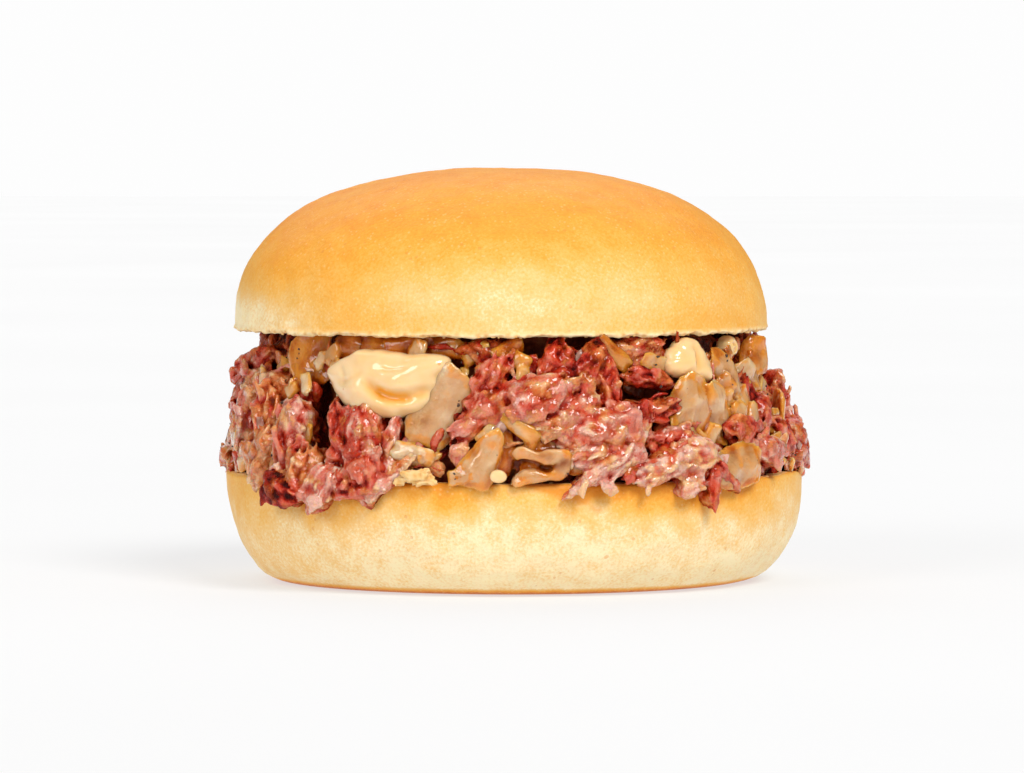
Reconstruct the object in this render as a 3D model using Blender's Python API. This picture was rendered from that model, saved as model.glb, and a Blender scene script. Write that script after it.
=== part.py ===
"""A reuben sandwich in a round soft bun, at its real size, in metres, +Z up.

The origin is the centre of the heel's flat base, and -Y is the front. From below: the bun's
heel, a heap of pulled corned beef and small onion bits, larger onion petals and runs of
dressing in the heap's side, and the bun's crown. Each piece that lies against an earlier one
is carved back from it, so that a thin gap stays between the solids.
"""

import math
import random

import bmesh
import bpy
import numpy as np
from mathutils import Matrix, Vector

MM = 0.001

# The bun
HEEL_RADIUS = 52.4 * MM
HEEL_FOOT_RADIUS = 41.0 * MM
HEEL_BULGE_HEIGHT = 16.5 * MM
HEEL_HEIGHT = 20.0 * MM
HEEL_DEPTH_SHARE = 0.975  # front to back, against its width
CROWN_RADIUS = 48.2 * MM
CROWN_HEIGHT = 29.3 * MM
CROWN_SHIFT = -1.8 * MM
CROWN_FULLNESS = 2.37  # exponent of the dome's superellipse
CRUST_EDGE = 0.9 * MM

# Shallow dents: middle, reach and the way that the crust gives there, in millimetres. The
# dome's are measured from its own base, at its upper left, top and right shoulder.
HEEL_DENTS = (((-50, -4, 8.5), 11, (1.7, 0, 0)),)
CROWN_DENTS = (
    ((-30, -14, 24), 12, (0, 0, -0.5)),
    ((-12, -4, 29), 9, (0, 0, -0.4)),
    ((12, -3, 29), 13, (0, 0, -0.4)),
    ((38, -2, 19), 14, (-0.4, 0, -0.2)),
)

# The heap between the halves
HEAP_BOTTOM = HEEL_HEIGHT
HEAP_TOP = 45.0 * MM
HEAP_BOTTOM_RADIUS = 52.0 * MM
HEAP_TOP_RADIUS = 46.0 * MM
# Where the heap is drawn in under the crown: azimuth and half width in degrees, the heights
# between which it draws in, and how far, in millimetres
HEAP_TUCKS = ((88, 34, 26.5, 35.5, 3.1), (-88, 34, 37.0, 42.0, 3.6))
CORE_INSET = 4.2 * MM
CORE_RELIEF = 0.6 * MM
LUMP_ROOT = 1.2 * MM  # how deep a lump's back sits in the core
GAP = 0.35 * MM  # between two solids that lie against each other

# Facets of each kind of surface
BUN_COLUMNS = 48
CORE_COLUMNS = 28
CORE_ROWS = 4
LARGE_LUMP = (6, 6)  # rows and columns
SMALL_LUMP = (5, 5)
STRAND = (5, 4)
LARGE_LUMP_AREA = 80  # length times width in mm2, from which a lump is a large one
STRAND_WIDTH = 4.0  # in mm, under which a lump is a strand
BIT = (4, 4)
PETAL_COLUMNS = 12
RING = (14, 6)
DRESSING_COLUMNS = 22

# Rows of lumps that are placed by rule: count under the crown, then the height, count and
# depth of each course of the sides and back
TOP_ROW_COUNT = 7
BACK_COURSES = ((24.0, 7, 0.8), (31.4, 7, 1.1), (38.4, 6, 2.0))
BACK_BIT_COUNT = 4

SEED = 11
GOLDEN_ANGLE = 137.508
FRONT_HALF_ANGLE = 84.0  # the front is placed by hand as far as this on both sides

# In the lists below each piece has its azimuth and the height of its middle, its depth below
# the heap's outline, its roll from level and its pitch, the end at +X outwards, then its
# length, width and thickness. Azimuth 0 is the front and 90 is +X. Angles are in degrees
# and the rest is in millimetres.
FRONT_BEEF = (
    (-78, 42.8, 2.6, 20, 0, 9.5, 4.5, 4.0),
    (-79, 39.2, -1.4, 16, -20, 13.0, 5.2, 3.6),
    (-73, 35.1, 0.8, -6, 0, 11.0, 6.0, 5.0),
    (-63, 36.1, 1.0, -4, 0, 9.0, 4.6, 4.4),
    (-73, 29.6, 0.4, 84, 0, 9.5, 6.4, 5.0),
    (-56, 28.2, 0.2, 95, 0, 17.0, 6.0, 5.4),
    (-57, 23.8, -0.6, 70, -6, 12.0, 6.0, 5.0),
    (-47, 26.3, 0.0, 86, -3, 14.0, 6.2, 5.4),
    (-45, 21.7, -1.0, 80, -6, 9.0, 6.0, 5.0),
    (-45, 17.2, -2.6, -22, 0, 10.0, 5.4, 4.6),
    (-41, 23.8, 0.4, 96, 0, 10.0, 5.0, 4.4),
    (-39, 19.0, -1.0, 62, -5, 8.5, 5.6, 4.4),
    (-35, 26.0, -0.3, 94, -2, 15.5, 4.4, 5.4),
    (-30, 25.3, -0.9, 97, -4, 16.5, 7.4, 6.0),
    (-25, 26.5, 0.4, 82, 0, 10.5, 2.4, 3.0),
    (-23, 22.2, 0.2, 42, 0, 10.0, 2.2, 2.8),
    (-6, 37.0, 1.0, 55, 0, 13.0, 5.0, 5.0),
    (-7, 31.9, 0.6, 52, 0, 13.0, 4.6, 4.6),
    (6, 34.5, 0.0, 28, 0, 12.5, 8.6, 6.4),
    (9, 30.1, 0.4, 20, 0, 9.0, 5.4, 5.0),
    (10, 40.4, 0.8, 78, 0, 9.0, 6.0, 5.0),
    (16, 38.2, 0.0, 80, 0, 13.0, 5.2, 5.0),
    (20, 36.9, 0.2, 100, 0, 13.0, 4.4, 5.0),
    (31, 38.0, 1.0, -12, 0, 9.0, 4.0, 4.0),
    (28, 32.1, 0.4, 4, 0, 15.0, 4.2, 4.2),
    (18, 29.6, -0.6, 10, 0, 13.5, 6.4, 5.4),
    (13, 32.4, -0.2, 25, 0, 10.0, 4.6, 4.6),
    (16, 24.8, 0.2, 6, 0, 10.0, 5.0, 4.4),
    (17, 22.4, -1.2, 33, -3, 14.0, 2.8, 3.0),
    (22, 23.7, -0.6, 42, 0, 12.0, 2.8, 3.0),
    (25, 27.4, 0.0, 60, 0, 9.0, 3.0, 3.2),
    (28, 23.5, -0.2, 27, 0, 10.0, 2.8, 3.0),
    (30, 22.5, -0.8, -6, 0, 8.6, 5.6, 5.0),
    (38, 24.3, -0.5, 5, 0, 10.5, 6.4, 5.4),
    (34, 27.8, 0.4, 12, 0, 10.0, 3.6, 4.0),
    (54, 28.0, 0.0, -8, 0, 8.6, 5.4, 4.4),
    (66, 31.4, 0.2, 35, 0, 8.0, 4.6, 4.0),
    (75, 25.7, 0.0, -42, 6, 13.0, 3.8, 3.6),
    (88, 22.3, -1.6, -26, 16, 7.5, 2.6, 2.8),
    (-87, 22.3, -0.8, 24, -10, 7.0, 3.0, 2.8),
    (61, 24.6, -0.6, -10, 0, 10.0, 5.6, 4.4),
    (41, 19.3, -1.6, 84, -6, 8.0, 3.0, 2.8),
    (45, 20.5, -1.4, -36, -4, 7.0, 2.2, 2.4),
)

# Small onion bits and flecks of fat that show at the front: azimuth, height, roll, length.
FRONT_BITS = (
    (-49, 35.8, -50, 3.8),
    (-40, 43.0, 5, 5.4),
    (-18, 21.5, 5, 5.4),
    (-2, 21.4, 0, 2.9),
    (2, 42.3, 20, 5.2),
    (-5, 28.8, 50, 5.0),
    (22, 42.4, -38, 5.4),
    (32, 40.4, -4, 5.6),
    (5, 38.2, 20, 4.4),
)

# Onion petals as large as a berry, each a node of its own: name, then as above with the
# lean of the face and the radius that it curls to after the pitch, and at the end how much
# it narrows towards +X.
ONION_PETALS = (
    ("onion_upper_left", -50.5, 41.0, 0.2, 100, 0, 26, 16, 10.5, 10.0, 1.6, 0.1),
    ("onion_far_left", -75, 25.5, -0.3, 80, 0, 0, 14, 11.5, 6.6, 2.0, 0.2),
    ("onion_beside_dressing", -15.4, 33.5, -0.9, 64, 0, 6, 12, 15.8, 10.2, 2.0, -0.1),
    ("onion_chip_left", -20, 25.1, -0.2, -14, 0, 0, 18, 8.0, 3.6, 2.0, 0.0),
    ("onion_low_middle", -5.6, 24.4, -0.7, 62, 0, 4, 14, 11.4, 6.2, 1.9, 0.8),
    ("onion_chip_middle", 1.8, 29.8, -1.3, -38, 0, 0, 30, 7.8, 3.4, 2.0, 0.0),
    ("onion_slab_right", 39.5, 32.4, -0.5, 78, 0, 0, 20, 12.8, 9.2, 1.8, 0.1),
    ("onion_petal_right", 47, 31.4, -0.3, 106, 0, 0, 16, 12.6, 7.6, 1.8, 0.2),
    ("onion_strip_right", 56, 36.5, -0.6, -42, 0, 0, 18, 16.0, 4.8, 1.8, 0.1),
    ("onion_wedge_right", 73, 40.9, -1.0, 74, 0, -36, 14, 7.6, 6.6, 2.2, 0.3),
    ("onion_side_right", 79, 29.5, -0.2, -58, 0, -16, 14, 11.0, 7.6, 1.9, 0.2),
    ("onion_flap_right", 48.5, 22.2, -1.7, 8, 0, -8, 18, 13.0, 8.4, 1.7, -0.2),
    ("onion_back_1", 114, 34.0, -0.6, 40, 0, 0, 11, 12.0, 8.0, 1.8, 0.2),
    ("onion_back_2", 146, 26.0, -0.8, 100, 0, 0, 12, 11.0, 8.4, 1.9, 0.1),
    ("onion_back_3", 196, 36.0, -0.4, -30, 0, 0, 11, 13.0, 7.4, 1.7, 0.3),
    ("onion_back_4", 238, 28.0, -0.8, 75, 0, 0, 12, 12.0, 8.0, 1.9, 0.1),
)

# An onion ring that is seen edge-on: azimuth, height, depth and roll as above, length and
# height of the oval line that it follows, the angles between which it runs, its width into
# the heap, and its thickness.
ONION_CURL = (4.8, 23.2, 0.8, 3, 8.4, 4.2, -158, 155, 6.0, 2.7)

# Dressing that has run out under the crown: name, azimuth, height of the middle, depth,
# roll, length, width, thickness, how far its outline swells into lobes, and its tails, each
# with direction in degrees, reach against half its width, and half width in radians.
DRESSING_RUNS = (
    (
        "dressing_left", -27, 37.2, -0.4, 0, 19.4, 13.2, 7.4, 0.05,
        ((29, 0.40, 0.26), (166, 0.20, 0.42), (82, -0.14, 0.4)),
    ),
    (
        "dressing_right", 41, 40.6, 0.0, -6, 9.6, 6.8, 4.6, 0.03,
        ((92, 0.28, 0.5), (-148, 0.14, 0.35), (-42, 0.34, 0.35)),
    ),
    ("dressing_drop", 60, 42.8, 1.0, 0, 4.8, 3.6, 3.4, 0.04, ((90, 0.1, 0.4),)),
    ("dressing_back", 160, 38.2, 0.6, -6, 16.0, 10.4, 6.2, 0.12, ((200, 0.3, 0.28),)),
)


def material(name, colour, roughness):
    """A plain opaque surface of one colour."""
    made = bpy.data.materials.new(name)
    made.use_nodes = True
    shader = made.node_tree.nodes["Principled BSDF"]
    shader.inputs["Base Color"].default_value = (*colour, 1.0)
    shader.inputs["Roughness"].default_value = roughness
    shader.inputs["Metallic"].default_value = 0.0
    return made


def closed_skin(name, rows, surface):
    """A closed mesh over rows of points, the first and last row each drawn to one point."""
    row_count, column_count = rows.shape[:2]
    points = [rows[0].mean(axis=0), *rows[1:-1].reshape(-1, 3), rows[-1].mean(axis=0)]
    last = len(points) - 1
    ring = [
        [1 + row * column_count + column for column in range(column_count)]
        for row in range(row_count - 2)
    ]
    faces = []
    for column in range(column_count):
        beside = (column + 1) % column_count
        faces.append((0, ring[0][beside], ring[0][column]))
        faces.append((last, ring[-1][column], ring[-1][beside]))
        for low, high in zip(ring, ring[1:]):
            faces.append((low[column], low[beside], high[beside], high[column]))
    mesh = bpy.data.meshes.new(name)
    mesh.from_pydata([tuple(point) for point in points], [], faces)
    mesh.materials.append(surface)
    made = bpy.data.objects.new(name, mesh)
    bpy.context.scene.collection.objects.link(made)
    face_outwards(mesh)
    return made


def face_outwards(mesh):
    """Turns the faces of a closed mesh outwards and splits them into triangles."""
    shape = bmesh.new()
    shape.from_mesh(mesh)
    bmesh.ops.triangulate(shape, faces=shape.faces)
    bmesh.ops.recalc_face_normals(shape, faces=shape.faces)
    if shape.calc_volume(signed=True) < 0:
        bmesh.ops.reverse_faces(shape, faces=shape.faces)
    shape.to_mesh(mesh)
    shape.free()


def lobes(angle, share, seed):
    """1 plus a few slow waves round a circle, as an uneven outline has."""
    draw = random.Random(seed)
    total = np.zeros_like(angle)
    for waves in (2, 3, 4, 5):
        total += np.cos(waves * angle + draw.uniform(0, math.tau)) / waves
    return 1 + share * total


def heap_radius(height, azimuth):
    """Radius of the heap's outline at a height and an azimuth in degrees: a cone, drawn in
    here and there under the crown."""
    share = (height - HEAP_BOTTOM) / (HEAP_TOP - HEAP_BOTTOM)
    radius = HEAP_BOTTOM_RADIUS + (HEAP_TOP_RADIUS - HEAP_BOTTOM_RADIUS) * share
    for middle, half, low, high, tuck in HEAP_TUCKS:
        away = ((azimuth - middle + 180) % 360 - 180) / half
        rise = np.clip((height / MM - low) / (high - low), 0, 1)
        radius = radius - tuck * MM * rise * rise * (3 - 2 * rise) * np.exp(-(away**2))
    return radius


def turned(profile, columns, share, seed, lobed_from=0.0):
    """Rows of points of a profile of (radius, height) pairs turned about Z. The outline
    swells and shrinks by share, and only above the height lobed_from."""
    angle = np.linspace(0, math.tau, columns, endpoint=False)
    radius, height = np.array(profile).T
    swell = np.where(height[:, None] > lobed_from, lobes(angle, share, seed), 1.0)
    around = radius[:, None] * swell
    return np.stack(
        [
            around * np.sin(angle),
            -around * np.cos(angle),
            np.broadcast_to(height[:, None], around.shape),
        ],
        axis=2,
    )


def heel(surface):
    """The bun's lower half: a flat foot, a side that bulges as a quarter ellipse, a crisp
    cut edge and a slightly dished cut face."""
    profile = [(0.0, 0.0), (HEEL_FOOT_RADIUS, 0.0)]
    for step in range(1, 7):
        turn = step / 6 * math.pi / 2
        profile.append(
            (
                HEEL_FOOT_RADIUS + (HEEL_RADIUS - HEEL_FOOT_RADIUS) * math.sin(turn),
                HEEL_BULGE_HEIGHT * (1 - math.cos(turn)),
            )
        )
    profile += [
        (HEEL_RADIUS - 0.15 * MM, HEEL_HEIGHT - CRUST_EDGE),
        (HEEL_RADIUS - CRUST_EDGE, HEEL_HEIGHT),
        (0.6 * HEEL_RADIUS, HEEL_HEIGHT - 0.5 * MM),
        (0.0, HEEL_HEIGHT - 0.5 * MM),
    ]
    rows = turned(profile, BUN_COLUMNS, 0.006, SEED)
    rows[..., 1] *= HEEL_DEPTH_SHARE
    return closed_skin("bun_heel", dented(rows, HEEL_DENTS), surface)


def dented(rows, dents):
    """Pushes in shallow dents with a soft rim."""
    for middle, reach, push in dents:
        away = np.linalg.norm(rows - np.array(middle) * MM, axis=2) / (reach * MM)
        rows = rows + np.exp(-(away**2))[..., None] * np.array(push) * MM
    return rows


def crown(surface):
    """The bun's upper half: a superellipse dome over a cut face with a thin rounded lip."""
    profile = [(0.0, 1.0 * MM), (0.7 * CROWN_RADIUS, 0.5 * MM)]
    profile += [(CROWN_RADIUS - CRUST_EDGE, 0.0), (CROWN_RADIUS, 0.8 * CRUST_EDGE)]
    for step in range(1, 11):
        turn = step / 10 * math.pi / 2
        across = math.cos(turn) ** (2 / CROWN_FULLNESS)
        up = math.sin(turn) ** (2 / CROWN_FULLNESS)
        foot = 1.5 * CRUST_EDGE
        profile.append((CROWN_RADIUS * across, foot + (CROWN_HEIGHT - foot) * up))
    profile[-1] = (0.0, CROWN_HEIGHT)
    rows = turned(profile, BUN_COLUMNS, 0.008, SEED + 1)
    made = closed_skin("bun_crown", dented(rows, CROWN_DENTS), surface)
    made.location = (CROWN_SHIFT, 0, HEAP_TOP + GAP)
    return made


def heap_core(surface):
    """The packed middle of the heap, from one cut face of the bun to the other, with the
    slow lumps of the beef that lies behind the outer pieces."""
    heights = np.linspace(HEAP_BOTTOM + GAP, HEAP_TOP, CORE_ROWS)
    profile = [(0.0, heights[0]), *((1.0, height) for height in heights)]
    profile.append((0.0, heights[-1]))
    rows = turned(profile, CORE_COLUMNS, 0.01, SEED + 2)
    angle = np.linspace(0, math.tau, CORE_COLUMNS, endpoint=False)
    rows[..., :2] *= (
        heap_radius(rows[..., 2], np.degrees(angle)) - CORE_INSET
    )[..., None]
    level = (rows[..., 2] - HEAP_BOTTOM) / (HEAP_TOP - HEAP_BOTTOM)
    bumps = np.sin(9 * angle + 4 * level) * np.sin(7 * level + 2 * np.sin(3 * angle))
    bumps += 0.7 * np.sin(14 * angle - 5 * level + 1.0)
    rows[..., :2] *= 1 + CORE_RELIEF / HEAP_BOTTOM_RADIUS * bumps[..., None]
    return closed_skin("filling", rows, surface)


def lump_rows(length, width, front, back, seed, rows, columns):
    """Rows of a blunt lump with its length along X, bent a little, with uneven ends. It
    stands out by front along +Z, and its back goes down into the heap."""
    draw = random.Random(seed)
    along = np.linspace(-1, 1, rows)
    angle = np.linspace(0, math.tau, columns, endpoint=False)
    girth = (1 - np.abs(along) ** 3.2) ** 0.5
    ridges = lobes(angle, 0.12, seed)
    bend = draw.uniform(-0.10, 0.10)
    x = along[:, None] * (length / 2) * (1 + 0.10 * np.cos(2 * angle + seed)[None, :])
    across = np.cos(angle) * ridges * width / 2
    up = np.sin(angle) * ridges
    up = np.where(up > 0, front * up, back * up)
    y = girth[:, None] * across + bend * length * along[:, None] ** 2
    z = girth[:, None] * up
    return np.stack([x, y, z], axis=2)


def petal_rows(length, width, thickness, curl, taper, seed):
    """Rows of an onion petal: an uneven round-cornered slab with X along its length and Z
    out of its face, narrower towards +X, bent about its length to the radius curl, thin at
    its rim. One of its points lies at each corner."""
    angle = np.linspace(0, math.tau, PETAL_COLUMNS, endpoint=False) + math.radians(15)
    corner = (np.abs(np.cos(angle)) ** 5 + np.abs(np.sin(angle)) ** 5) ** (-1 / 5)
    outline = corner * lobes(angle, 0.08, seed)
    reach = np.array([0.0, 0.62, 0.95, 0.95, 0.62, 0.0])
    face = np.array([0.5, 0.5, 0.32, -0.32, -0.5, -0.5]) * thickness
    x = reach[:, None] * outline * np.cos(angle) * length / 2
    y = reach[:, None] * outline * np.sin(angle) * width / 2 * (1 - taper * x / length)
    turn = y / curl
    arm = curl + face[:, None]
    return np.stack([x, arm * np.sin(turn), arm * np.cos(turn) - curl], axis=2)


def ring_rows(length, height, start, end, width, thickness):
    """Rows of a band of onion seen edge-on: a section of round corners, carried round part
    of an oval whose line wanders a little and thinner at both ends."""
    row_count, column_count = RING
    turn = np.radians(np.linspace(start, end, row_count))[:, None]
    side = np.linspace(0, math.tau, column_count, endpoint=False) + math.radians(30)
    wander = 0.45 * np.sin(3 * turn + 0.6) + 0.5 * np.cos(turn) ** 2 * np.sin(turn)
    out = np.stack([np.cos(turn) * height, np.sin(turn) * length], axis=2)
    out /= np.linalg.norm(out, axis=2, keepdims=True)
    thin = 1 + 0.3 * np.sin(2.2 * turn + 1.0)
    thin[1] *= 0.8
    thin[-2] *= 0.8
    across = np.cos(side) / math.cos(math.radians(30)) * thickness / 2 * thin
    deep = np.sin(side) * width / 2 + 0.9 * MM * np.sin(0.7 * turn)
    x = np.cos(turn) * length / 2 + out[..., :1][..., 0] * across
    y = np.sin(turn) * height / 2 + wander * MM + out[..., 1:][..., 0] * across
    return np.stack(np.broadcast_arrays(x, y, deep), axis=2)


def run_rows(length, width, thickness, swell, tails, seed):
    """Rows of a run of dressing: a thick drop with a lobed outline and a few tails, full in
    front and flatter behind, with X along its length and Z out of its face."""
    angle = np.linspace(0, math.tau, DRESSING_COLUMNS, endpoint=False)
    outline = lobes(angle, swell, seed)
    for towards, tail_reach, half_width in tails:
        away = (angle - math.radians(towards) + math.pi) % math.tau - math.pi
        outline = outline + tail_reach * np.exp(-((away / half_width) ** 2))
    turn = np.linspace(0, math.pi, 8)
    reach = np.sin(turn) ** 0.8
    face = np.cos(turn) * thickness * np.where(turn < math.pi / 2, 0.58, 0.42)
    x = reach[:, None] * outline * np.cos(angle) * length / 2
    y = reach[:, None] * outline * np.sin(angle) * width / 2
    bend_radius = HEAP_BOTTOM_RADIUS - 4 * MM
    arm = bend_radius + face[:, None]
    bend = x / bend_radius
    return np.stack([arm * np.sin(bend), y, arm * np.cos(bend) - bend_radius], axis=2)


def at_heap_side(azimuth, height, depth, roll, pitch=0.0, lean=0.0):
    """The place of a piece in the heap's side. Its X is its length, along the heap before
    the roll; its Z points out of the heap. Angles are in degrees."""
    turn = math.radians(azimuth)
    along = Vector((math.cos(turn), math.sin(turn), 0))
    out = Vector((math.sin(turn), -math.cos(turn), 0))
    middle = out * (heap_radius(height, azimuth) - depth) + Vector((0, 0, height))
    frame = Matrix((along, Vector((0, 0, 1)), out)).transposed().to_4x4()
    turns = (
        Matrix.Rotation(math.radians(roll), 4, "Z")
        @ Matrix.Rotation(math.radians(-pitch), 4, "Y")
        @ Matrix.Rotation(math.radians(lean), 4, "X")
    )
    return Matrix.Translation(middle) @ frame @ turns


def beef_places():
    """All lumps of the heap as rows like those of FRONT_BEEF: those of the front, a row all
    round in the shade under the crown, and the sides and back in three uneven courses."""
    draw = random.Random(SEED)
    places = list(FRONT_BEEF)
    for index in range(TOP_ROW_COUNT):
        azimuth = 360 * (index + draw.uniform(0, 0.5)) / TOP_ROW_COUNT - 180
        length = draw.uniform(9.0, 13.0)
        places.append(
            (azimuth, 42.4, 2.2, draw.uniform(-25, 25), 0, length, 5.4, 4.4)
        )
    back_span = 360 - 2 * FRONT_HALF_ANGLE
    for height, count, depth in BACK_COURSES:
        for index in range(count):
            share = (index + draw.uniform(0.2, 0.8)) / count
            places.append(
                (
                    FRONT_HALF_ANGLE + back_span * share,
                    height + draw.uniform(-1.6, 1.6),
                    depth + draw.uniform(-0.6, 0.8),
                    draw.uniform(-30, 120),
                    draw.uniform(-6, 6),
                    draw.uniform(14.0, 19.0),
                    draw.uniform(7.5, 10.0),
                    draw.uniform(4.6, 6.0),
                )
            )
    return places


def bit_places():
    """Small onion bits and flecks of fat, as rows like those of FRONT_BEEF: those of the
    front, and those of the sides and back by a golden-angle rule."""
    draw = random.Random(SEED + 5)
    bits = list(FRONT_BITS)
    for index in range(BACK_BIT_COUNT):
        azimuth = 96 + index * GOLDEN_ANGLE % 168
        bits.append(
            (azimuth, draw.uniform(22, 42), draw.uniform(0, 180), draw.uniform(3, 5))
        )
    return [
        (azimuth, height, 0.5, roll, 0, size, 0.65 * size, 3.0)
        for azimuth, height, roll, size in bits
    ]


def lump_facets(length, width):
    """Rows and columns of a lump by its size in millimetres."""
    if width < STRAND_WIDTH:
        return STRAND
    return LARGE_LUMP if length * width > LARGE_LUMP_AREA else SMALL_LUMP


def lump(name, place, seed, surface, facets):
    """One lump in the heap's side."""
    azimuth, height, depth, roll, pitch, length, width, thickness = place
    front = thickness * MM / 2
    back = max(front, CORE_INSET + LUMP_ROOT - depth * MM)
    rows = lump_rows(length * MM, width * MM, front, back, seed, *facets)
    made = closed_skin(name, rows, surface)
    made.matrix_world = at_heap_side(azimuth, height * MM, depth * MM, roll, pitch)
    return made


def petal(place, seed, surface):
    """One onion petal, a node of its own."""
    name, azimuth, height, depth, roll, pitch, lean, *sizes, taper = place
    curl, length, width, thickness = (size * MM for size in sizes)
    rows = petal_rows(length, width, thickness, curl, taper, seed)
    made = closed_skin(name, rows, surface)
    made.matrix_world = at_heap_side(
        azimuth, height * MM, depth * MM, roll, pitch, lean
    )
    return made


def onion_curl(surface):
    """The onion ring that is seen edge-on, a node of its own."""
    azimuth, height, depth, roll, length, tall, start, end, width, thickness = ONION_CURL
    rows = ring_rows(length * MM, tall * MM, start, end, width * MM, thickness * MM)
    made = closed_skin("onion_curl", rows, surface)
    made.matrix_world = at_heap_side(azimuth, height * MM, depth * MM, roll)
    return made


def dressing_run(place, seed, surface):
    """One run of dressing, a node of its own."""
    name, azimuth, height, depth, roll, length, width, thickness, swell, tails = place
    sizes = (length * MM, width * MM, thickness * MM)
    rows = run_rows(*sizes, swell, tails, seed)
    made = closed_skin(name, rows, surface)
    made.matrix_world = at_heap_side(azimuth, height * MM, depth * MM, roll)
    return made


def grown(source, by):
    """A helper mesh: a copy of a solid with each vertex moved out along its normal."""
    bpy.context.view_layer.update()
    mesh = source.data.copy()
    mesh.transform(source.matrix_world)
    mesh.update()
    normals = [vertex.normal.copy() for vertex in mesh.vertices]
    for vertex, normal in zip(mesh.vertices, normals):
        vertex.co += normal * by
    made = bpy.data.objects.new("cut_" + source.name, mesh)
    made.hide_render = True
    made.display_type = "WIRE"
    return made


def combine(target, others, operation, solver="EXACT"):
    """Joins the others to the target, or cuts them from it, and removes the others."""
    group = bpy.data.collections.new("group_" + target.name)
    bpy.context.scene.collection.children.link(group)
    for other in others:
        for owner in list(other.users_collection):
            owner.objects.unlink(other)
        group.objects.link(other)
    boolean = target.modifiers.new(operation.lower(), "BOOLEAN")
    boolean.operation = operation
    boolean.operand_type = "COLLECTION"
    boolean.collection = group
    boolean.solver = solver
    bpy.context.view_layer.update()
    graph = bpy.context.evaluated_depsgraph_get()
    mesh = bpy.data.meshes.new_from_object(target.evaluated_get(graph))
    target.modifiers.clear()
    target.data = mesh
    for other in others:
        bpy.data.objects.remove(other)
    bpy.data.collections.remove(group)
    keep_main_body(mesh)


def keep_main_body(mesh):
    """Drops loose scraps and the skins of sealed hollows, and keeps the largest body."""
    shape = bmesh.new()
    shape.from_mesh(mesh)
    bmesh.ops.triangulate(shape, faces=shape.faces)
    left = set(shape.faces)
    bodies = []
    while left:
        first = left.pop()
        body, edge_of_body = {first}, [first]
        while edge_of_body:
            face = edge_of_body.pop()
            for edge in face.edges:
                for beside in edge.link_faces:
                    if beside in left:
                        left.remove(beside)
                        body.add(beside)
                        edge_of_body.append(beside)
        bodies.append(body)
    main = max(bodies, key=volume_of)
    extra = [face for body in bodies if body is not main for face in body]
    bmesh.ops.delete(shape, geom=extra, context="FACES")
    shape.to_mesh(mesh)
    shape.free()


def volume_of(faces):
    """Volume that triangles enclose, negative for the skin of a hollow."""
    total = 0.0
    for face in faces:
        a, b, c = (vertex.co for vertex in face.verts)
        total += a.dot(b.cross(c)) / 6
    return total


def touches(first, second, margin):
    """Whether the boxes of two solids come within a margin of each other."""
    bpy.context.view_layer.update()
    boxes = []
    for one in (first, second):
        corners = np.array([one.matrix_world @ Vector(c) for c in one.bound_box])
        boxes.append((corners.min(axis=0), corners.max(axis=0)))
    (low_a, high_a), (low_b, high_b) = boxes
    return bool((low_a - margin < high_b).all() and (low_b - margin < high_a).all())


def carve(target, earlier):
    """Cuts a solid back from those made before it, so that GAP stays between them."""
    near = [one for one in earlier if touches(target, one, GAP)]
    if near:
        combine(target, [grown(one, GAP) for one in near], "DIFFERENCE")


def clear_scene():
    """Removes every object that the file opened with."""
    for old in list(bpy.data.objects):
        bpy.data.objects.remove(old)


def build():
    """Makes the sandwich, from the bun inwards, each piece carved back from the earlier."""
    clear_scene()
    crust = material("crust", (0.95, 0.62, 0.24), 0.55)
    meat = material("corned_beef", (0.62, 0.20, 0.14), 0.35)
    onion = material("onion", (0.66, 0.42, 0.19), 0.30)
    cream = material("dressing", (0.94, 0.66, 0.34), 0.25)

    made = [heel(crust), crown(crust)]
    for number, place in enumerate(DRESSING_RUNS):
        made.append(dressing_run(place, SEED + 20 + number, cream))
        carve(made[-1], made[:-1])
    for number, place in enumerate(ONION_PETALS):
        made.append(petal(place, SEED + 40 + number, onion))
        carve(made[-1], made[:-1])
    made.append(onion_curl(onion))
    carve(made[-1], made[:-1])

    filling = heap_core(meat)
    pieces = []
    for number, place in enumerate(beef_places()):
        facets = lump_facets(place[5], place[6])
        pieces.append(lump(f"beef_{number}", place, SEED + 100 + number, meat, facets))
    for number, place in enumerate(bit_places()):
        pieces.append(lump(f"bit_{number}", place, SEED + 300 + number, onion, BIT))
    combine(filling, pieces, "UNION")
    carve(filling, made)
    made.append(filling)

    sandwich = bpy.data.objects.new("reuben_sandwich", None)
    bpy.context.scene.collection.objects.link(sandwich)
    for one in made:
        one.parent = sandwich
        one.data.shade_smooth()
        one.data.set_sharp_from_angle(angle=math.radians(50))


build()
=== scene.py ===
"""Looks of the reuben sandwich: a soft round bun, its heap of pulled corned beef, fried
onion and creamy dressing. Sizes are in millimetres until a mesh is made, in metres."""

import math
import random

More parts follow.
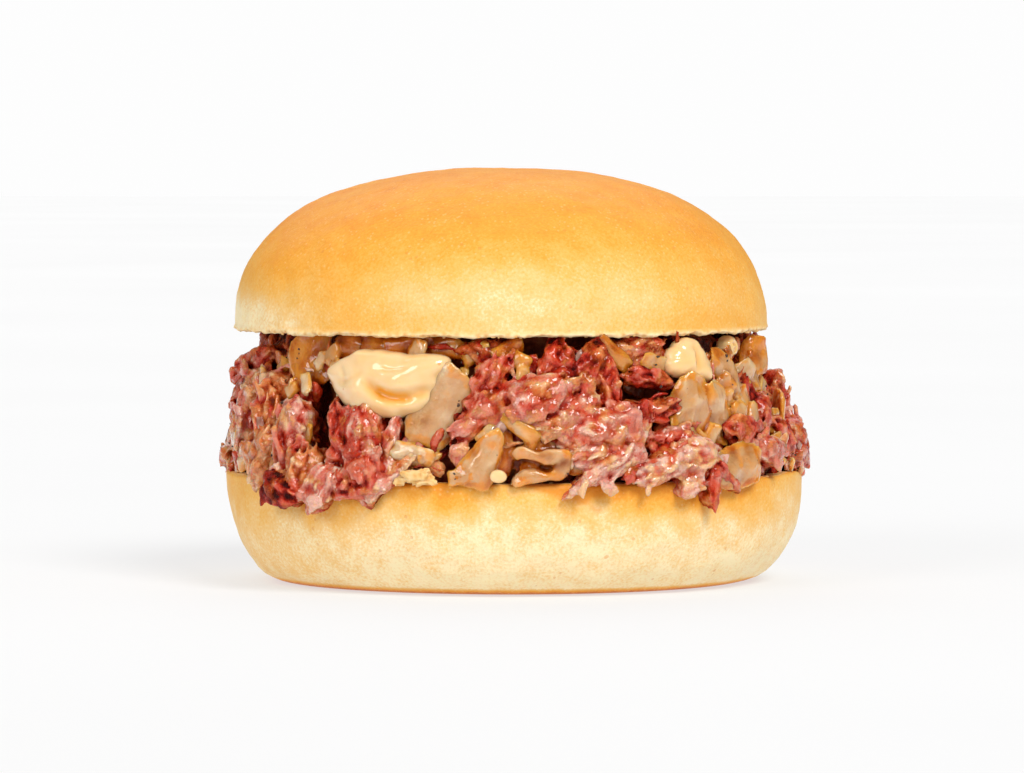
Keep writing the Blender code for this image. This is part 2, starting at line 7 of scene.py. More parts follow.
import bpy
import numpy as np
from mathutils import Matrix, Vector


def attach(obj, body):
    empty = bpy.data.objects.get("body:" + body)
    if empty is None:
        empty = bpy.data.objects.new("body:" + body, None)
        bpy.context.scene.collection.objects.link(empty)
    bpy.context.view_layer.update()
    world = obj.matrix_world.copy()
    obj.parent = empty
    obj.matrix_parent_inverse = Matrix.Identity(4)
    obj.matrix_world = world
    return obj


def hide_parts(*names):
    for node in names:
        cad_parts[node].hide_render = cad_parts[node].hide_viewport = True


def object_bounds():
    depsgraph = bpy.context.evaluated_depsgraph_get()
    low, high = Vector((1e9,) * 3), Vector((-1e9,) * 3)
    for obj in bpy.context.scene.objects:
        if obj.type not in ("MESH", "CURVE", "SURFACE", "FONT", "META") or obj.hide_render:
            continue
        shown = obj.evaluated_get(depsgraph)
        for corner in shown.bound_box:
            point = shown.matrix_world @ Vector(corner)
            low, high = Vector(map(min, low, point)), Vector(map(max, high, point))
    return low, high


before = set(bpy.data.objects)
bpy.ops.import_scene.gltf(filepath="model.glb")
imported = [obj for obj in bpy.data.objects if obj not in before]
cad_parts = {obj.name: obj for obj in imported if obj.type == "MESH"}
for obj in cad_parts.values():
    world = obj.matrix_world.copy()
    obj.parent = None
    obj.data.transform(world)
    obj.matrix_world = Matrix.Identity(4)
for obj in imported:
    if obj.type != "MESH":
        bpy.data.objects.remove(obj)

cad_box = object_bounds()

MM = 0.001

# The bun, as the CAD model has it
HEEL_RADIUS = 52.4
HEEL_FOOT_RADIUS = 41.0
HEEL_BULGE_HEIGHT = 16.5
HEEL_HEIGHT = 20.0
HEEL_DEPTH_SHARE = 0.975
CROWN_RADIUS = 48.2
CROWN_HEIGHT = 29.3
CROWN_SHIFT = -1.8
CROWN_FULLNESS = 2.37
CROWN_FLOOR = 45.35
CRUST_EDGE = 0.9
BUN_COLUMNS = 300

# Shallow dents: middle, reach and the way that the crust gives there
HEEL_DENTS = (((-50, -4, 8.5), 11, (1.7, 0, 0)),)
CROWN_DENTS = (
    ((-30, -14, 24), 12, (0, 0, -0.5)),
    ((-12, -4, 29), 9, (0, 0, -0.4)),
    ((12, -3, 29), 13, (0, 0, -0.4)),
    ((38, -2, 19), 14, (-0.4, 0, -0.2)),
)

# The heap between the halves
HEAP_BOTTOM = 20.0
HEAP_TOP = 45.0
HEAP_BOTTOM_RADIUS = 52.0
HEAP_TOP_RADIUS = 46.0
HEAP_MIDDLE = (HEAP_BOTTOM + HEAP_TOP) / 2
BED_INSET = 6.6
# Heights between which the heap is painted deeper in colour, as the crown's shade
SHADE_UNDER_CROWN = (39.0, 44.5)
# Where it is drawn in under the crown: azimuth and half width in degrees, the heights
# between which it draws in, and how far
HEAP_TUCKS = ((88, 34, 26.5, 35.5, 3.1), (-88, 34, 37.0, 42.0, 3.6))

# The studio: name, direction, spread in degrees and level of each lamp, where 1 lights a
# facing white sheet fully
ROOM_LIGHT = 0.42
MIRRORED_ROOM = 0.12
SEEN_ROOM = 0.985
FLOOR_GLOW = 0.605
LAMPS = (
    ("key_light", (0.50, -0.85, 0.85), 24.0, 0.68),
    ("fill_light", (-0.70, -0.85, 0.50), 24.0, 0.28),
    ("top_light", (-0.10, 0.70, 0.80), 60.0, 0.30),
)

# The camera: metres and degrees; at the sandwich, a pixel of the photograph is PHOTO_PIXEL mm
CAMERA_DISTANCE = 1.100
CAMERA_HEIGHT = 0.082
CAMERA_TILT = 2.46
SENSOR_WIDTH = 36.0
PHOTO_WIDTH = 1024
PHOTO_PIXEL = 0.1813
FLOOR_REACH = 6.0

SEED = 11
GOLDEN_ANGLE = 137.508
FRONT_HALF_ANGLE = 84.0

# How many small things there are of each kind
LUMPS_BEHIND = 84
SMALL_BACK_LUMPS = 30
SCRAPS = 380
SHREDS = 190
ONION_BITS = 120
ONION_BEHIND = 70
LOOSE_CRUMBS = 300
PEPPER_BITS = 130

# Sectors that beef and onion are fused in: the azimuth where each starts
BEEF_SECTORS = {"far_left": -98, "left": -52, "middle": -20, "right": 24, "far_right": 56, "back": 98}
ONION_SECTORS = {"left": -98, "middle": -36, "right": 24, "back": 98}

# Fusing: cells in millimetres; how much a hollow changes the tone and the amber, as painted
# shade in hollows and painted light on crests, and how much deeper in colour all is painted
# under the crown, as its shade; for how many rounds a valley's mean is taken
BEEF_CELL = 0.31
ONION_CELL = 0.29
BACK_CELL = 0.50
BEEF_SHADING = (-0.7, -0.3, 0.3)
ONION_SHADING = (-0.5, 0.6, 0.1)
NARROW_VALLEY = 10
WIDE_VALLEY = 40

# What every point of a skin carries: name, kind, key and how many numbers
CARRIED = (
    ("tone", "FLOAT", "value", 1), ("amber", "FLOAT", "value", 1), ("grain", "FLOAT_VECTOR", "vector", 3),
)

# How amber the lumps left of LEFT_EDGE are, in turn
LEFT_EDGE = -40
LEFT_AMBER = (1.2, 0.3, 0.8)

# Browner parts of the heel's rim: azimuth, half width in degrees, share of the height where
# they start, gain
HEEL_BROWNING = (
    (-38, 15, 0.42, 0.46), (-14, 11, 0.6, 0.54), (24, 13, 0.56, 0.7), (52, 20, 0.25, 0.44),
    (-75, 16, 0.35, 0.2), (82, 16, 0.4, 0.14), (150, 50, 0.5, 0.3), (215, 30, 0.6, 0.3),
)

# Where juices have run down from the heel's rim: azimuth, half width in degrees, reach
JUICE_STAINS = (
    (14, 9, 4), (24, 6, 3), (-22, 7, 1.8), (42, 6, 5.6), (52, 4, 4), (-44, 8, 6.5), (150, 9, 3),
    (215, 12, 3),
)

# Torn crumbs on the heel's rim: azimuth, height, depth, size, seed
RIM_CRUMBS = ((-18.6, 21.2, -0.6, 4.6, 31), (-16.6, 20.8, -0.7, 3.2, 32), (-21.4, 20.5, -0.4, 3, 33))

# Beef of the front: azimuth and height of the middle, depth below the heap's outline, roll,
# pitch, length, width, thickness, tone from 0 (maroon) to 1 (pale pink), how much its fibres
# show. Azimuth 0 is the front and 90 is +X.
FRONT_BEEF = (
    (-78, 42.8, 2.6, 20, 0, 9.5, 4.5, 4, 0.3, 0.8), (-79, 39.2, -1.4, 16, -20, 13, 5.2, 3.6, 0.5, 0.9),
    (-73, 35.1, 0.8, -6, 0, 11, 6, 5, 0.67, 0.9), (-63, 36.1, 1, -4, 0, 9, 4.6, 4.4, 0.65, 0.8),
    (-73, 29.6, 0.4, 84, 0, 9.5, 6.4, 5, 0.71, 0.9), (-58, 28.2, 0.2, 95, 0, 17, 6, 5.4, 0.54, 1.1),
    (-57, 23.8, -0.6, 70, -6, 12, 6, 5, 0.61, 0.9), (-50, 26.3, 0, 86, -3, 14, 6.2, 5.4, 0.68, 0.9),
    (-45, 21.7, -1, 80, -6, 9, 6, 5, 0.58, 0.9), (-62, 24.3, -0.8, 40, 0, 5.6, 4.4, 4, 0.58, 0.9),
    (-48, 18, -2.1, -22, 0, 9, 5, 4.4, 0.2, 0.9), (-42, 21.8, 0.7, 96, 0, 7, 4.4, 4.4, 0.6, 0.8),
    (-39, 19, -1, 62, -5, 8.5, 5.6, 4.4, 0.74, 0.8), (-35, 26, -0.3, 94, -2, 15.5, 4.4, 5.4, 0.44, 0.9),
    (-30, 25.3, -0.9, 97, -4, 16.5, 7.4, 6, 0.56, 0.8), (-32, 18.3, -0.9, 4, 0, 7.4, 3, 3, 0.46, 1.2),
    (-25, 26.5, 0.4, 82, 0, 10.5, 2.4, 3, 0.62, 1.2), (-23, 22.2, 0.2, 42, 0, 10, 2.2, 2.8, 0.74, 1.2),
    (-26, 19.1, -0.4, 30, 0, 6.5, 2.4, 2.6, 0.7, 1.2), (-6, 37, 1, 55, 0, 13, 5, 5, 0.48, 0.9),
    (-7, 31.9, 0.6, 52, 0, 13, 4.6, 4.6, 0.58, 0.8), (-1, 34.4, 1, 48, 0, 10, 3.6, 4.4, 0.5, 0.9),
    (6, 34.5, 0, 28, 0, 12.5, 8.6, 6.4, 0.64, 0.8), (9, 30.1, 0.4, 20, 0, 9, 5.4, 5, 0.68, 0.9),
    (10, 40.4, 0.8, 78, 0, 9, 6, 5, 0.44, 0.8), (16, 38.2, 0, 80, 0, 13, 5.2, 5, 0.42, 0.9),
    (20, 36.9, 0.2, 100, 0, 13, 4.4, 5, 0.4, 0.8), (13, 34.8, 0.4, 60, 0, 8, 4, 4, 0.52, 0.9),
    (31, 38, 1, -12, 0, 9, 4, 4, 0.36, 0.9), (28, 32.1, -0.1, 4, 0, 15, 4.2, 4.2, 0.3, 0.9),
    (18, 29.6, -0.6, 10, 0, 13.5, 6.4, 5.4, 0.69, 0.8), (13, 32.4, -0.2, 25, 0, 10, 4.6, 4.6, 0.65, 0.8),
    (16, 24.8, 0.2, 6, 0, 10, 5, 4.4, 0.83, 0.9), (17, 22.4, -1.2, 33, -3, 14, 2.8, 3, 0.8, 1.2),
    (22, 23.7, -0.6, 42, 0, 12, 2.8, 3, 0.76, 1.2), (25, 27.4, 0, 60, 0, 9, 3, 3.2, 0.7, 1.2),
    (28, 23.5, -0.2, 27, 0, 10, 2.8, 3, 0.4, 1.2), (30, 22.5, -0.8, 22, 0, 9.6, 5.2, 5, 0.78, 1.2),
    (38, 24.3, -0.5, 14, 0, 10.5, 6.4, 5.4, 0.81, 1.2), (34, 27.8, 0.6, 12, 0, 10, 3.6, 4, 0.58, 0.9),
    (54, 28, 0, -8, 0, 8.6, 5.4, 4.4, 0.4, 0.8), (66, 31.4, 0.2, 35, 0, 8, 4.6, 4, 0.34, 0.9),
    (75, 25.7, 0, -42, 6, 13, 3.8, 3.6, 0.38, 0.9), (88, 22.3, -1.4, -26, 14, 7.5, 2.6, 2.8, 0.4, 1.2),
    (-87, 22.3, -0.6, 24, -10, 7, 3, 2.8, 0.52, 1.2), (61, 24.6, -0.6, -10, 0, 10, 5.6, 4.4, 0.6, 0.8),
    (41, 19.3, -1.6, 84, -6, 8, 3, 2.8, 0.42, 1.2), (45, 20.5, -1.4, -36, -4, 7, 2.2, 2.4, 0.34, 1.2),
    (36, 19.2, -1.4, 20, 0, 5, 3.4, 2.8, 0.8, 1.2),
)

# Onion petals: name, azimuth, height, depth, roll, pitch, lean, curl radius, length, width,
# thickness, taper towards +X, crumple, tone from 0 (brown) to 1 (pale), how amber.
ONION_PETALS = (
    ("onion_upper_left", -50.5, 41, 0.2, 100, 0, 26, 16, 10.5, 10, 1.5, 0.1, 1, 0.47, 1.3),
    ("onion_far_left", -75, 25.5, -0.3, 80, 0, 0, 14, 11.5, 6.6, 2, 0.2, 1.3, 0.56, 0.4),
    ("onion_beside_dressing", -15.2, 33.4, -0.3, 64, 0, 6, 12, 15.8, 10, 2, -0.1, 0.3, 0.6, -0.6),
    ("onion_chip_left", -20, 25.1, -0.2, -14, 0, 0, 18, 8, 3.6, 2, 0, 0.8, 0.74, 0.1),
    ("onion_low_middle", -5.6, 24.4, -0.7, 62, 0, 4, 14, 11.4, 6.2, 1.8, 0.8, 1.4, 0.56, 0),
    ("onion_chip_middle", 1.8, 29.8, -1.3, -38, 0, 0, 30, 7.8, 3.4, 2, 0, 0.05, 0.62, 1.1),
    ("onion_slab_right", 39.5, 32.4, -0.5, 78, 0, 0, 20, 12.8, 9.2, 1.6, 0.1, 2.4, 0.55, 0.3),
    ("onion_petal_right", 47, 31.4, -0.3, 106, 0, 0, 16, 12.6, 7.6, 1.6, 0.2, 2.2, 0.61, -0.2),
    ("onion_strip_right", 56, 36.5, -0.6, -42, 0, 0, 18, 16, 4.8, 1.6, 0.1, 1.4, 0.54, 0.1),
    ("onion_wedge_right", 73, 40.9, -1, 74, 0, -36, 14, 7.6, 6.6, 2, 0.3, 1, 0.46, 0.7),
    ("onion_side_right", 79, 29.5, -0.2, -58, 0, -16, 14, 11, 7.6, 1.8, 0.2, 1.4, 0.52, 0.5),
    ("onion_flap_right", 48.5, 22.2, -1.7, 8, 0, -8, 18, 13, 8.4, 1.6, -0.2, 2, 0.5, 0.1),
    ("onion_back_1", 114, 34, -0.6, 40, 0, 0, 14, 12, 8, 1.7, 0.2, 1.2, 0.62, 0.3),
    ("onion_back_2", 146, 26, -0.8, 100, 0, 0, 15, 11, 8.4, 1.7, 0.1, 1.2, 0.66, 0.3),
    ("onion_back_3", 196, 36, -0.4, -30, 0, 0, 14, 13, 7.4, 1.7, 0.3, 1.2, 0.6, 0.5),
    ("onion_back_4", 238, 28, -0.8, 75, 0, 0, 15, 12, 8, 1.7, 0.1, 1.2, 0.66, 0.3),
)

# Dark openings between the front's chunks: azimuth, height, half width in degrees and half
# height
OPENINGS = (
    (-43.6, 33, 4.4, 6), (-39.4, 26.8, 2, 5), (-13, 24, 2, 2.6), (6.5, 42.8, 4.4, 2), (28, 35.6, 6.5, 2),
    (33, 29.6, 3, 1), (26, 21.4, 4.5, 0.9), (0.8, 26.4, 1.2, 2), (46, 37.4, 2, 1.4),
    (-25.5, 29.5, 1.4, 1.2), (-68, 42.5, 5, 1.4),
)

# Small pieces of onion: azimuth, height, depth, roll, length, width, curl radius, tone, how
# amber
SMALL_ONION = (
    # The first four, under the crown, have a low tone and strong amber: painted shade.
    (-39, 43.3, 0.8, 4, 8.6, 5, 12, 0.46, 2.3), (-31, 43.6, 0.6, -5, 9.6, 5.2, 14, 0.42, 2.4),
    (-23, 43.4, 0.5, 8, 8.6, 4.8, 12, 0.44, 2.3), (-15, 43.5, 0.6, -8, 7.4, 4.2, 10, 0.46, 2.1),
    (-20.5, 42.8, -0.2, 76, 4.6, 3.4, 8, 0.7, 0), (-8, 42.8, 0.2, 20, 5.4, 3.8, 8, 0.6, 0.2),
    (-1, 42.8, 0.4, 30, 6.4, 4, 9, 0.4, 1.4), (1.4, 41.2, 0.2, -20, 4.6, 3.4, 8, 0.58, 0.6),
    (-4, 37.9, 0, 58, 5, 3, 8, 0.66, 0.6), (2.2, 38.6, -0.2, 75, 4.2, 2.6, 8, 0.7, 0.9),
    (22.5, 42.4, 0, -42, 8.4, 3.2, 12, 0.5, 1.5), (33, 40.6, -0.4, -6, 8, 3.2, 10, 0.74, 0.4),
    (19, 24.6, -0.3, 10, 6.8, 3.4, 9, 0.7, 0.5), (-48.5, 36.6, -0.4, -56, 4.8, 2.4, 8, 0.8, 0.3),
    (-46.5, 40.8, -0.2, 58, 3.6, 2.4, 8, 0.8, 0.1), (-53.5, 35.2, -0.3, 30, 3.4, 2.4, 7, 0.72, 0.6),
    (-43, 41.8, 0.2, 60, 4.6, 3.4, 8, 0.64, 0.1), (-40.8, 38.6, 0.4, 100, 5.2, 3, 8, 0.7, -0.2),
    (67, 25, -0.5, 24, 6.6, 4.8, 10, 0.66, 0.4), (62, 23.6, -0.2, -20, 4.6, 2.8, 8, 0.6, 0.6),
    (76, 34.8, -0.6, 50, 5, 3.4, 8, 0.7, 0.6), (64, 38, -0.2, 30, 5.8, 4.6, 9, 0.7, -0.4),
    (66, 34.2, 0, -30, 5.6, 4, 9, 0.66, 0.1), (59, 33, -0.2, -60, 6.4, 4, 9, 0.7, 0.2),
    (51, 33.6, -0.4, 10, 4.6, 3.8, 8, 0.74, 0.1), (44, 27.2, 0, 60, 6, 3.4, 9, 0.6, 0.7),
    (4.6, 24.6, 0.6, 60, 7.4, 2.6, 7, 0.46, 1.2), (7.4, 22.2, 0.9, 4, 6.6, 3.2, 8, 0.66, 0.5),
    (-34, 21.4, -0.5, 70, 5, 3.4, 8, 0.74, 0.4), (-37.2, 22.8, 0, 80, 4.6, 3, 8, 0.68, 0.7),
    (-69, 37.6, -0.4, 12, 5.4, 3, 8, 0.74, 0.3), (-62, 38.8, 0.6, 60, 4.6, 3.4, 8, 0.56, 0.8),
    (-66, 22.6, -0.9, 40, 4.4, 3, 8, 0.7, 0.5), (-5, 28.8, -0.2, 50, 4.6, 2.2, 8, 0.74, 0.2),
    (-10, 21.2, -0.4, 10, 5, 2.6, 8, 0.66, 0.2), (71, 29, -0.3, 80, 5.2, 4, 9, 0.62, 0.7),
    (44, 22.8, -1.2, -30, 4, 3, 8, 0.74, 0.4), (56, 26.6, -0.4, 40, 5, 3.6, 8, 0.7, 0.5),
    (12.8, 24.8, 0.2, 66, 7, 5, 12, 0.52, -0.2), (9.6, 26.6, 0.6, -30, 4.6, 3, 8, 0.5, 0.4),
    (-1.4, 26, 0, 84, 9, 3, 5, 0.44, 1.3), (5.6, 24.2, 1.6, 5, 9.4, 6, 16, 0.4, 0.7),
    (51, 35.4, -0.3, 40, 6.4, 4.6, 10, 0.62, 0.3), (54, 30, -0.2, 100, 7, 4.8, 12, 0.56, 0.5),
    (60, 29.8, -0.3, 60, 6.4, 4.6, 10, 0.64, 0.2), (69, 37.2, -0.4, -40, 6, 4.6, 10, 0.62, 0.1),
)

# Grey-purple silverskin: azimuth, height, depth, roll, length, width
SILVERSKIN = (
    (11.4, 39.2, -1, 104, 5.8, 2.8), (-3.4, 28.6, -1, 47, 7, 1.9), (-58, 27.4, -2.4, 80, 6.5, 2.2),
    (-31, 30.6, -2.8, -50, 4.2, 2.2), (80, 24.6, -1.6, 0, 2.6, 1.6), (14.2, 41.4, -0.3, 60, 3.4, 1.8),
)

# The onion ring seen edge-on: azimuth, height, depth, roll, length and height of the
# ring's line, angles between which it runs, width into the heap, thickness, tone
ONION_CURL = (4.8, 23.2, 0.8, 3, 8.4, 4.2, -160, 158, 6, 2.9, 0.46)

# Dressing: name, azimuth, height, depth, roll, length, width, thickness, swell of the
# outline, tails as (direction, reach, width), creases as (middle x and y, radius, direction,
# half span, half width, rise).
DRESSING_RUNS = (
    ("dressing_left", -27, 37.2, -0.4, 0, 19.4, 13.2, 7.4, 0.05,
     ((29, 0.4, 0.26), (166, 0.2, 0.42), (82, -0.14, 0.4)),
     ((4, 5.5, 7.8, 264, 0.95, 1, -0.9), (4, 5.5, 7.9, 260, 0.46, 1.25, -0.56),
      (4.4, -0.2, 0, 0, 7, 2.4, 0.6), (2.8, 8.6, 6.2, 272, 0.45, 0.4, -0.3),
      (-3.2, -1, 0, 0, 7, 2.6, 0.45), (-6.4, 5.4, 5, 285, 0.7, 0.5, -0.25),
      (6.8, 2.6, 2.6, 100, 1.2, 0.5, -0.25), (-8.6, 0.6, 2.4, 20, 1, 0.4, -0.2))),
    ("dressing_right", 41, 40.6, 0, -6, 9.6, 6.8, 4.6, 0.03,
     ((92, 0.28, 0.5), (-148, 0.14, 0.35), (-42, 0.34, 0.35)),
     ((-7.6, 0, 8, 0, 0.4, 0.8, -0.45), (3, 0, 3.4, 190, 0.9, 0.6, 0.3))),
    ("dressing_drop", 60, 42.8, 1, 0, 4.8, 3.6, 3.4, 0.04, ((90, 0.1, 0.4),),
     ((0, 0, 0.6, 0, 3.6, 0.5, -0.5),)),
    ("dressing_back", 160, 38.2, 0.6, -6, 16, 10.4, 6.2, 0.12, ((200, 0.3, 0.28),),
     ((0, 4, 5, 265, 1.2, 1, -0.8), (0, -3, 5, 90, 1, 1, 0.5))),
)

# A bead of dressing on the heel's rim: azimuth, height, depth, size
CREAM_BEAD = (-2.6, 21.4, -1.3, 3)


# ---------------------------------------------------------------- fields and places


def waves(points, size, seed, count=16):
    """An uneven field over points, about -1 to 1: the sum of count plane waves of about the
    wavelength size in random directions."""
    draw = np.random.default_rng(seed)
    way = draw.normal(size=(count, 3))
    way /= np.linalg.norm(way, axis=1, keepdims=True)
    way *= (math.tau / size) * draw.uniform(0.7, 1.5, (count, 1))
    phase = draw.uniform(0, math.tau, count)
    total = np.zeros(points.shape[:-1])
    for step, start in zip(way, phase):
        total += np.sin(points @ step + start)
    return total / math.sqrt(count)


def swells(points, seed, *parts):
    """The sum of waves of several sizes: each part is a gain, a size and a step on seed."""
    return sum(gain * waves(points, size, seed + step) for gain, size, step in parts)


def billow(points, size, seed, count=14):
    """Rounded swells with sharp valleys between them, from 0 in a valley to about 1.4: the
    square root of the size of waves."""
    return np.sqrt(np.abs(waves(points, size, seed, count)))


def lobes(angle, share, seed):
    """1 plus a few slow cosine waves round a circle, as an uneven outline has."""
    draw = random.Random(seed)
    total = np.zeros_like(angle)
    for count in (2, 3, 4, 5):
        total += np.cos(count * angle + draw.uniform(0, math.tau)) / count
    return 1 + share * total


def circle(columns):
    """That many angles round a circle, from 0."""
    return np.linspace(0, math.tau, columns, endpoint=False)


def ease(value, low, high):
    """0 below low, 1 above high and a smooth cubic between them."""
    part = np.clip((value - low) / (high - low), 0, 1)
    return part * part * (3 - 2 * part)


def apart(azimuth, middle):
    """How far an azimuth lies from another in degrees, -180 to 180."""
    return (azimuth - middle + 180) % 360 - 180


def bell(azimuth, middle, half):
    """1 at an azimuth, with a bell curve's fall to both sides of it."""
    return np.exp(-((apart(azimuth, middle) / half) ** 2))


def heap_radius(height, azimuth):
    """Radius of the heap's outline at a height and an azimuth in degrees: a cone, drawn in
    here and there under the crown."""
    share = (height - HEAP_BOTTOM) / (HEAP_TOP - HEAP_BOTTOM)
    radius = HEAP_BOTTOM_RADIUS + (HEAP_TOP_RADIUS - HEAP_BOTTOM_RADIUS) * share
    for middle, half, low, high, tuck in HEAP_TUCKS:
        radius = radius - tuck * ease(height, low, high) * bell(azimuth, middle, half)
    return radius


def turned(radius, angle, height):
    """Points at a radius, an angle from the front and a height."""
    return np.stack(np.broadcast_arrays(radius * np.sin(angle), -radius * np.cos(angle), height), axis=-1)


def azimuths(points):
    """The azimuth of points in degrees, 0 at the front and 90 at +X."""
    return np.degrees(np.arctan2(points[..., 0], -points[..., 1]))


def dented(grid, dents):
    """Pushes in shallow dents with a soft rim."""
    for middle, reach, push in dents:
        away = np.linalg.norm(grid - np.array(middle), axis=2) / reach
        grid = grid + np.exp(-(away**2))[..., None] * np.array(push)
    return grid


def lay(points, azimuth, height, depth, roll, pitch=0.0, lean=0.0):
    """Lays a piece in the heap's side: it is rolled about Z, pitched about Y and leaned
    about X, then its X is bent round the heap, its Y is up and its Z is outwards."""
    a, b, c = math.radians(roll), math.radians(-pitch), math.radians(lean)
    about_z = np.array([[math.cos(a), -math.sin(a), 0], [math.sin(a), math.cos(a), 0], [0, 0, 1]])
    about_y = np.array([[math.cos(b), 0, math.sin(b)], [0, 1, 0], [-math.sin(b), 0, math.cos(b)]])
    about_x = np.array([[1, 0, 0], [0, math.cos(c), -math.sin(c)], [0, math.sin(c), math.cos(c)]])
    points = points @ (about_z @ about_y @ about_x).T
    middle = heap_radius(height, azimuth) - depth
    angle = math.radians(azimuth) + points[..., 0] / middle
    return turned(middle + points[..., 2], angle, height + points[..., 1])


# ---------------------------------------------------------------- meshes


def kept_inside(points):
    """Bends points that come near the CAD model's box at its sides or pass it back inside,
    by an exponential that never reaches the box's side."""
    low, high = (np.array(corner[:2]) / MM for corner in cad_box)
    middle, half = (low + high) / 2, (high - low) / 2
    out = np.abs(points[:, :2] - middle) - (half - 1.2)
    kept = np.where(out > 0, half - 1.2 * np.exp(-np.maximum(out, 0) / 1.2), half - 1.2 + out)
    points = points.copy()
    points[:, :2] = middle + np.sign(points[:, :2] - middle) * (kept - 0.02)
    return points


def in_scene(name, data):
    """An object with its data, linked to the scene."""
    made = bpy.data.objects.new(name, data)
    bpy.context.scene.collection.objects.link(made)
    return made


class Skins:
    """Closed grids gathered into one mesh. Each grid has rows from one end to the other and
    columns round it; its first and last rows are drawn to a point. Every point carries a
    tone, how amber it is, and a grain vector: millimetres along, millimetres round, and a
    number of its own for each grid."""

    def __init__(self):
        self.held = ([], [], [], [])  # places, then what CARRIED lists
        self.triangles, self.quads, self.count = [], [], 0

    def add(self, grid, tone, along=0.0, around=0.0, own=0.0, amber=0.0):
        """Adds a grid. Every value is one number or one for each point."""
        rows, columns = grid.shape[:2]
        tone, along, around, own, amber = (
            np.broadcast_to(value, (rows, columns)) for value in (tone, along, around, own, amber)
        )
        grain = np.stack([along, around, own], axis=-1)
        for values, store in zip((grid, tone[..., None], amber[..., None], grain), self.held):
            store.append(values[0].mean(axis=0)[None])
            store.append(values[1:-1].reshape(-1, values.shape[-1]))
            store.append(values[-1].mean(axis=0)[None])
        ring = 1 + np.arange((rows - 2) * columns).reshape(rows - 2, columns)
        beside = np.roll(ring, -1, axis=1)
        last = (rows - 2) * columns + 1
        first_cap = np.stack([np.zeros(columns, int), beside[0], ring[0]], axis=1)
        last_cap = np.stack([np.full(columns, last), ring[-1], beside[-1]], axis=1)
        sides = np.stack([ring[:-1], beside[:-1], beside[1:], ring[1:]], axis=2).reshape(-1, 4)
        caps = np.concatenate([first_cap, last_cap])
        if self.inside_out(grid):
            caps, sides = caps[:, ::-1], sides[:, ::-1]
        self.triangles.append(caps + self.count)
        self.quads.append(sides + self.count)
        self.count += last + 1

    @staticmethod
    def inside_out(grid):
        """Whether the faces made in the order of add point inwards, from the volume that the
        quads enclose about the grid's middle."""
        points = grid - grid.reshape(-1, 3).mean(axis=0)
        a, d = points[:-1], points[1:]
        b, c = np.roll(a, -1, axis=1), np.roll(d, -1, axis=1)
        volume = np.einsum("ijk,ijk->", a, np.cross(b, c)) + np.einsum("ijk,ijk->", a, np.cross(c, d))
        return volume < 0

    def made(self, name, surface):
        """The mesh object, in metres, smooth, with its material."""
        points, *carried = (np.concatenate(values) for values in self.held)
        triangles, quads = np.concatenate(self.triangles), np.concatenate(self.quads)
        corners = np.concatenate([triangles.ravel(), quads.ravel()])
        sizes = np.repeat([3, 4], [len(triangles), len(quads)])
        starts = np.cumsum(sizes) - sizes
        mesh = bpy.data.meshes.new(name)
        mesh.vertices.add(len(points))
        mesh.vertices.foreach_set("co", (kept_inside(points) * MM).astype(np.float32).ravel())
        mesh.loops.add(len(corners))
        mesh.loops.foreach_set("vertex_index", corners.astype(np.int32))
        mesh.polygons.add(len(sizes))
        mesh.polygons.foreach_set("loop_start", starts.astype(np.int32))
        mesh.polygons.foreach_set("loop_total", sizes.astype(np.int32))
        mesh.update(calc_edges=True)
        mesh.validate()
        mesh.shade_smooth()
        for (label, kind, key, _), values in zip(CARRIED, carried):
            layer = mesh.attributes.new(label, kind, "POINT")
            layer.data.foreach_set(key, values.astype(np.float32).ravel())
        mesh.materials.append(surface)
        return in_scene(name, mesh)


def grid_normals(grid):
    """Outward unit normals of a grid closed round its columns: the cross product of its
    differences along and across, turned to point away from the grid's middle."""
    across = np.roll(grid, -1, axis=1) - np.roll(grid, 1, axis=1)
    along = np.gradient(grid, axis=0)
    normal = np.cross(across, along)
    normal /= np.linalg.norm(normal, axis=2, keepdims=True) + 1e-9
    away = grid - grid.reshape(-1, 3).mean(axis=0)
    if np.einsum("ijk,ijk->", normal, away) < 0:
        normal = -normal
    return normal


def moved(grid, relief):
    """A grid whose points have moved along its normals by relief."""
    return grid + grid_normals(grid) * relief[..., None]


# ---------------------------------------------------------------- the bun


def turned_profile(radius, height, share, seed):
    """A profile turned about Z, with its outline swelled by lobes above its foot."""
    angle = circle(BUN_COLUMNS)
    height = height[:, None]
    return turned(radius[:, None] * np.where(height > 0, lobes(angle, share, seed), 1.0), angle, height)


def torn_lip(grid, edge, seed):
    """Tears the crumb at a cut edge: points in the band edge (0 to 1) move along the normal
    by short uneven waves, and by longer ones that make it hang here and there."""
    ragged = swells(grid, seed, (0.11, 1.1, 0), (0.11, 2.6, 2), (0.12, 6.5, 1))
    return moved(grid, edge * ragged)


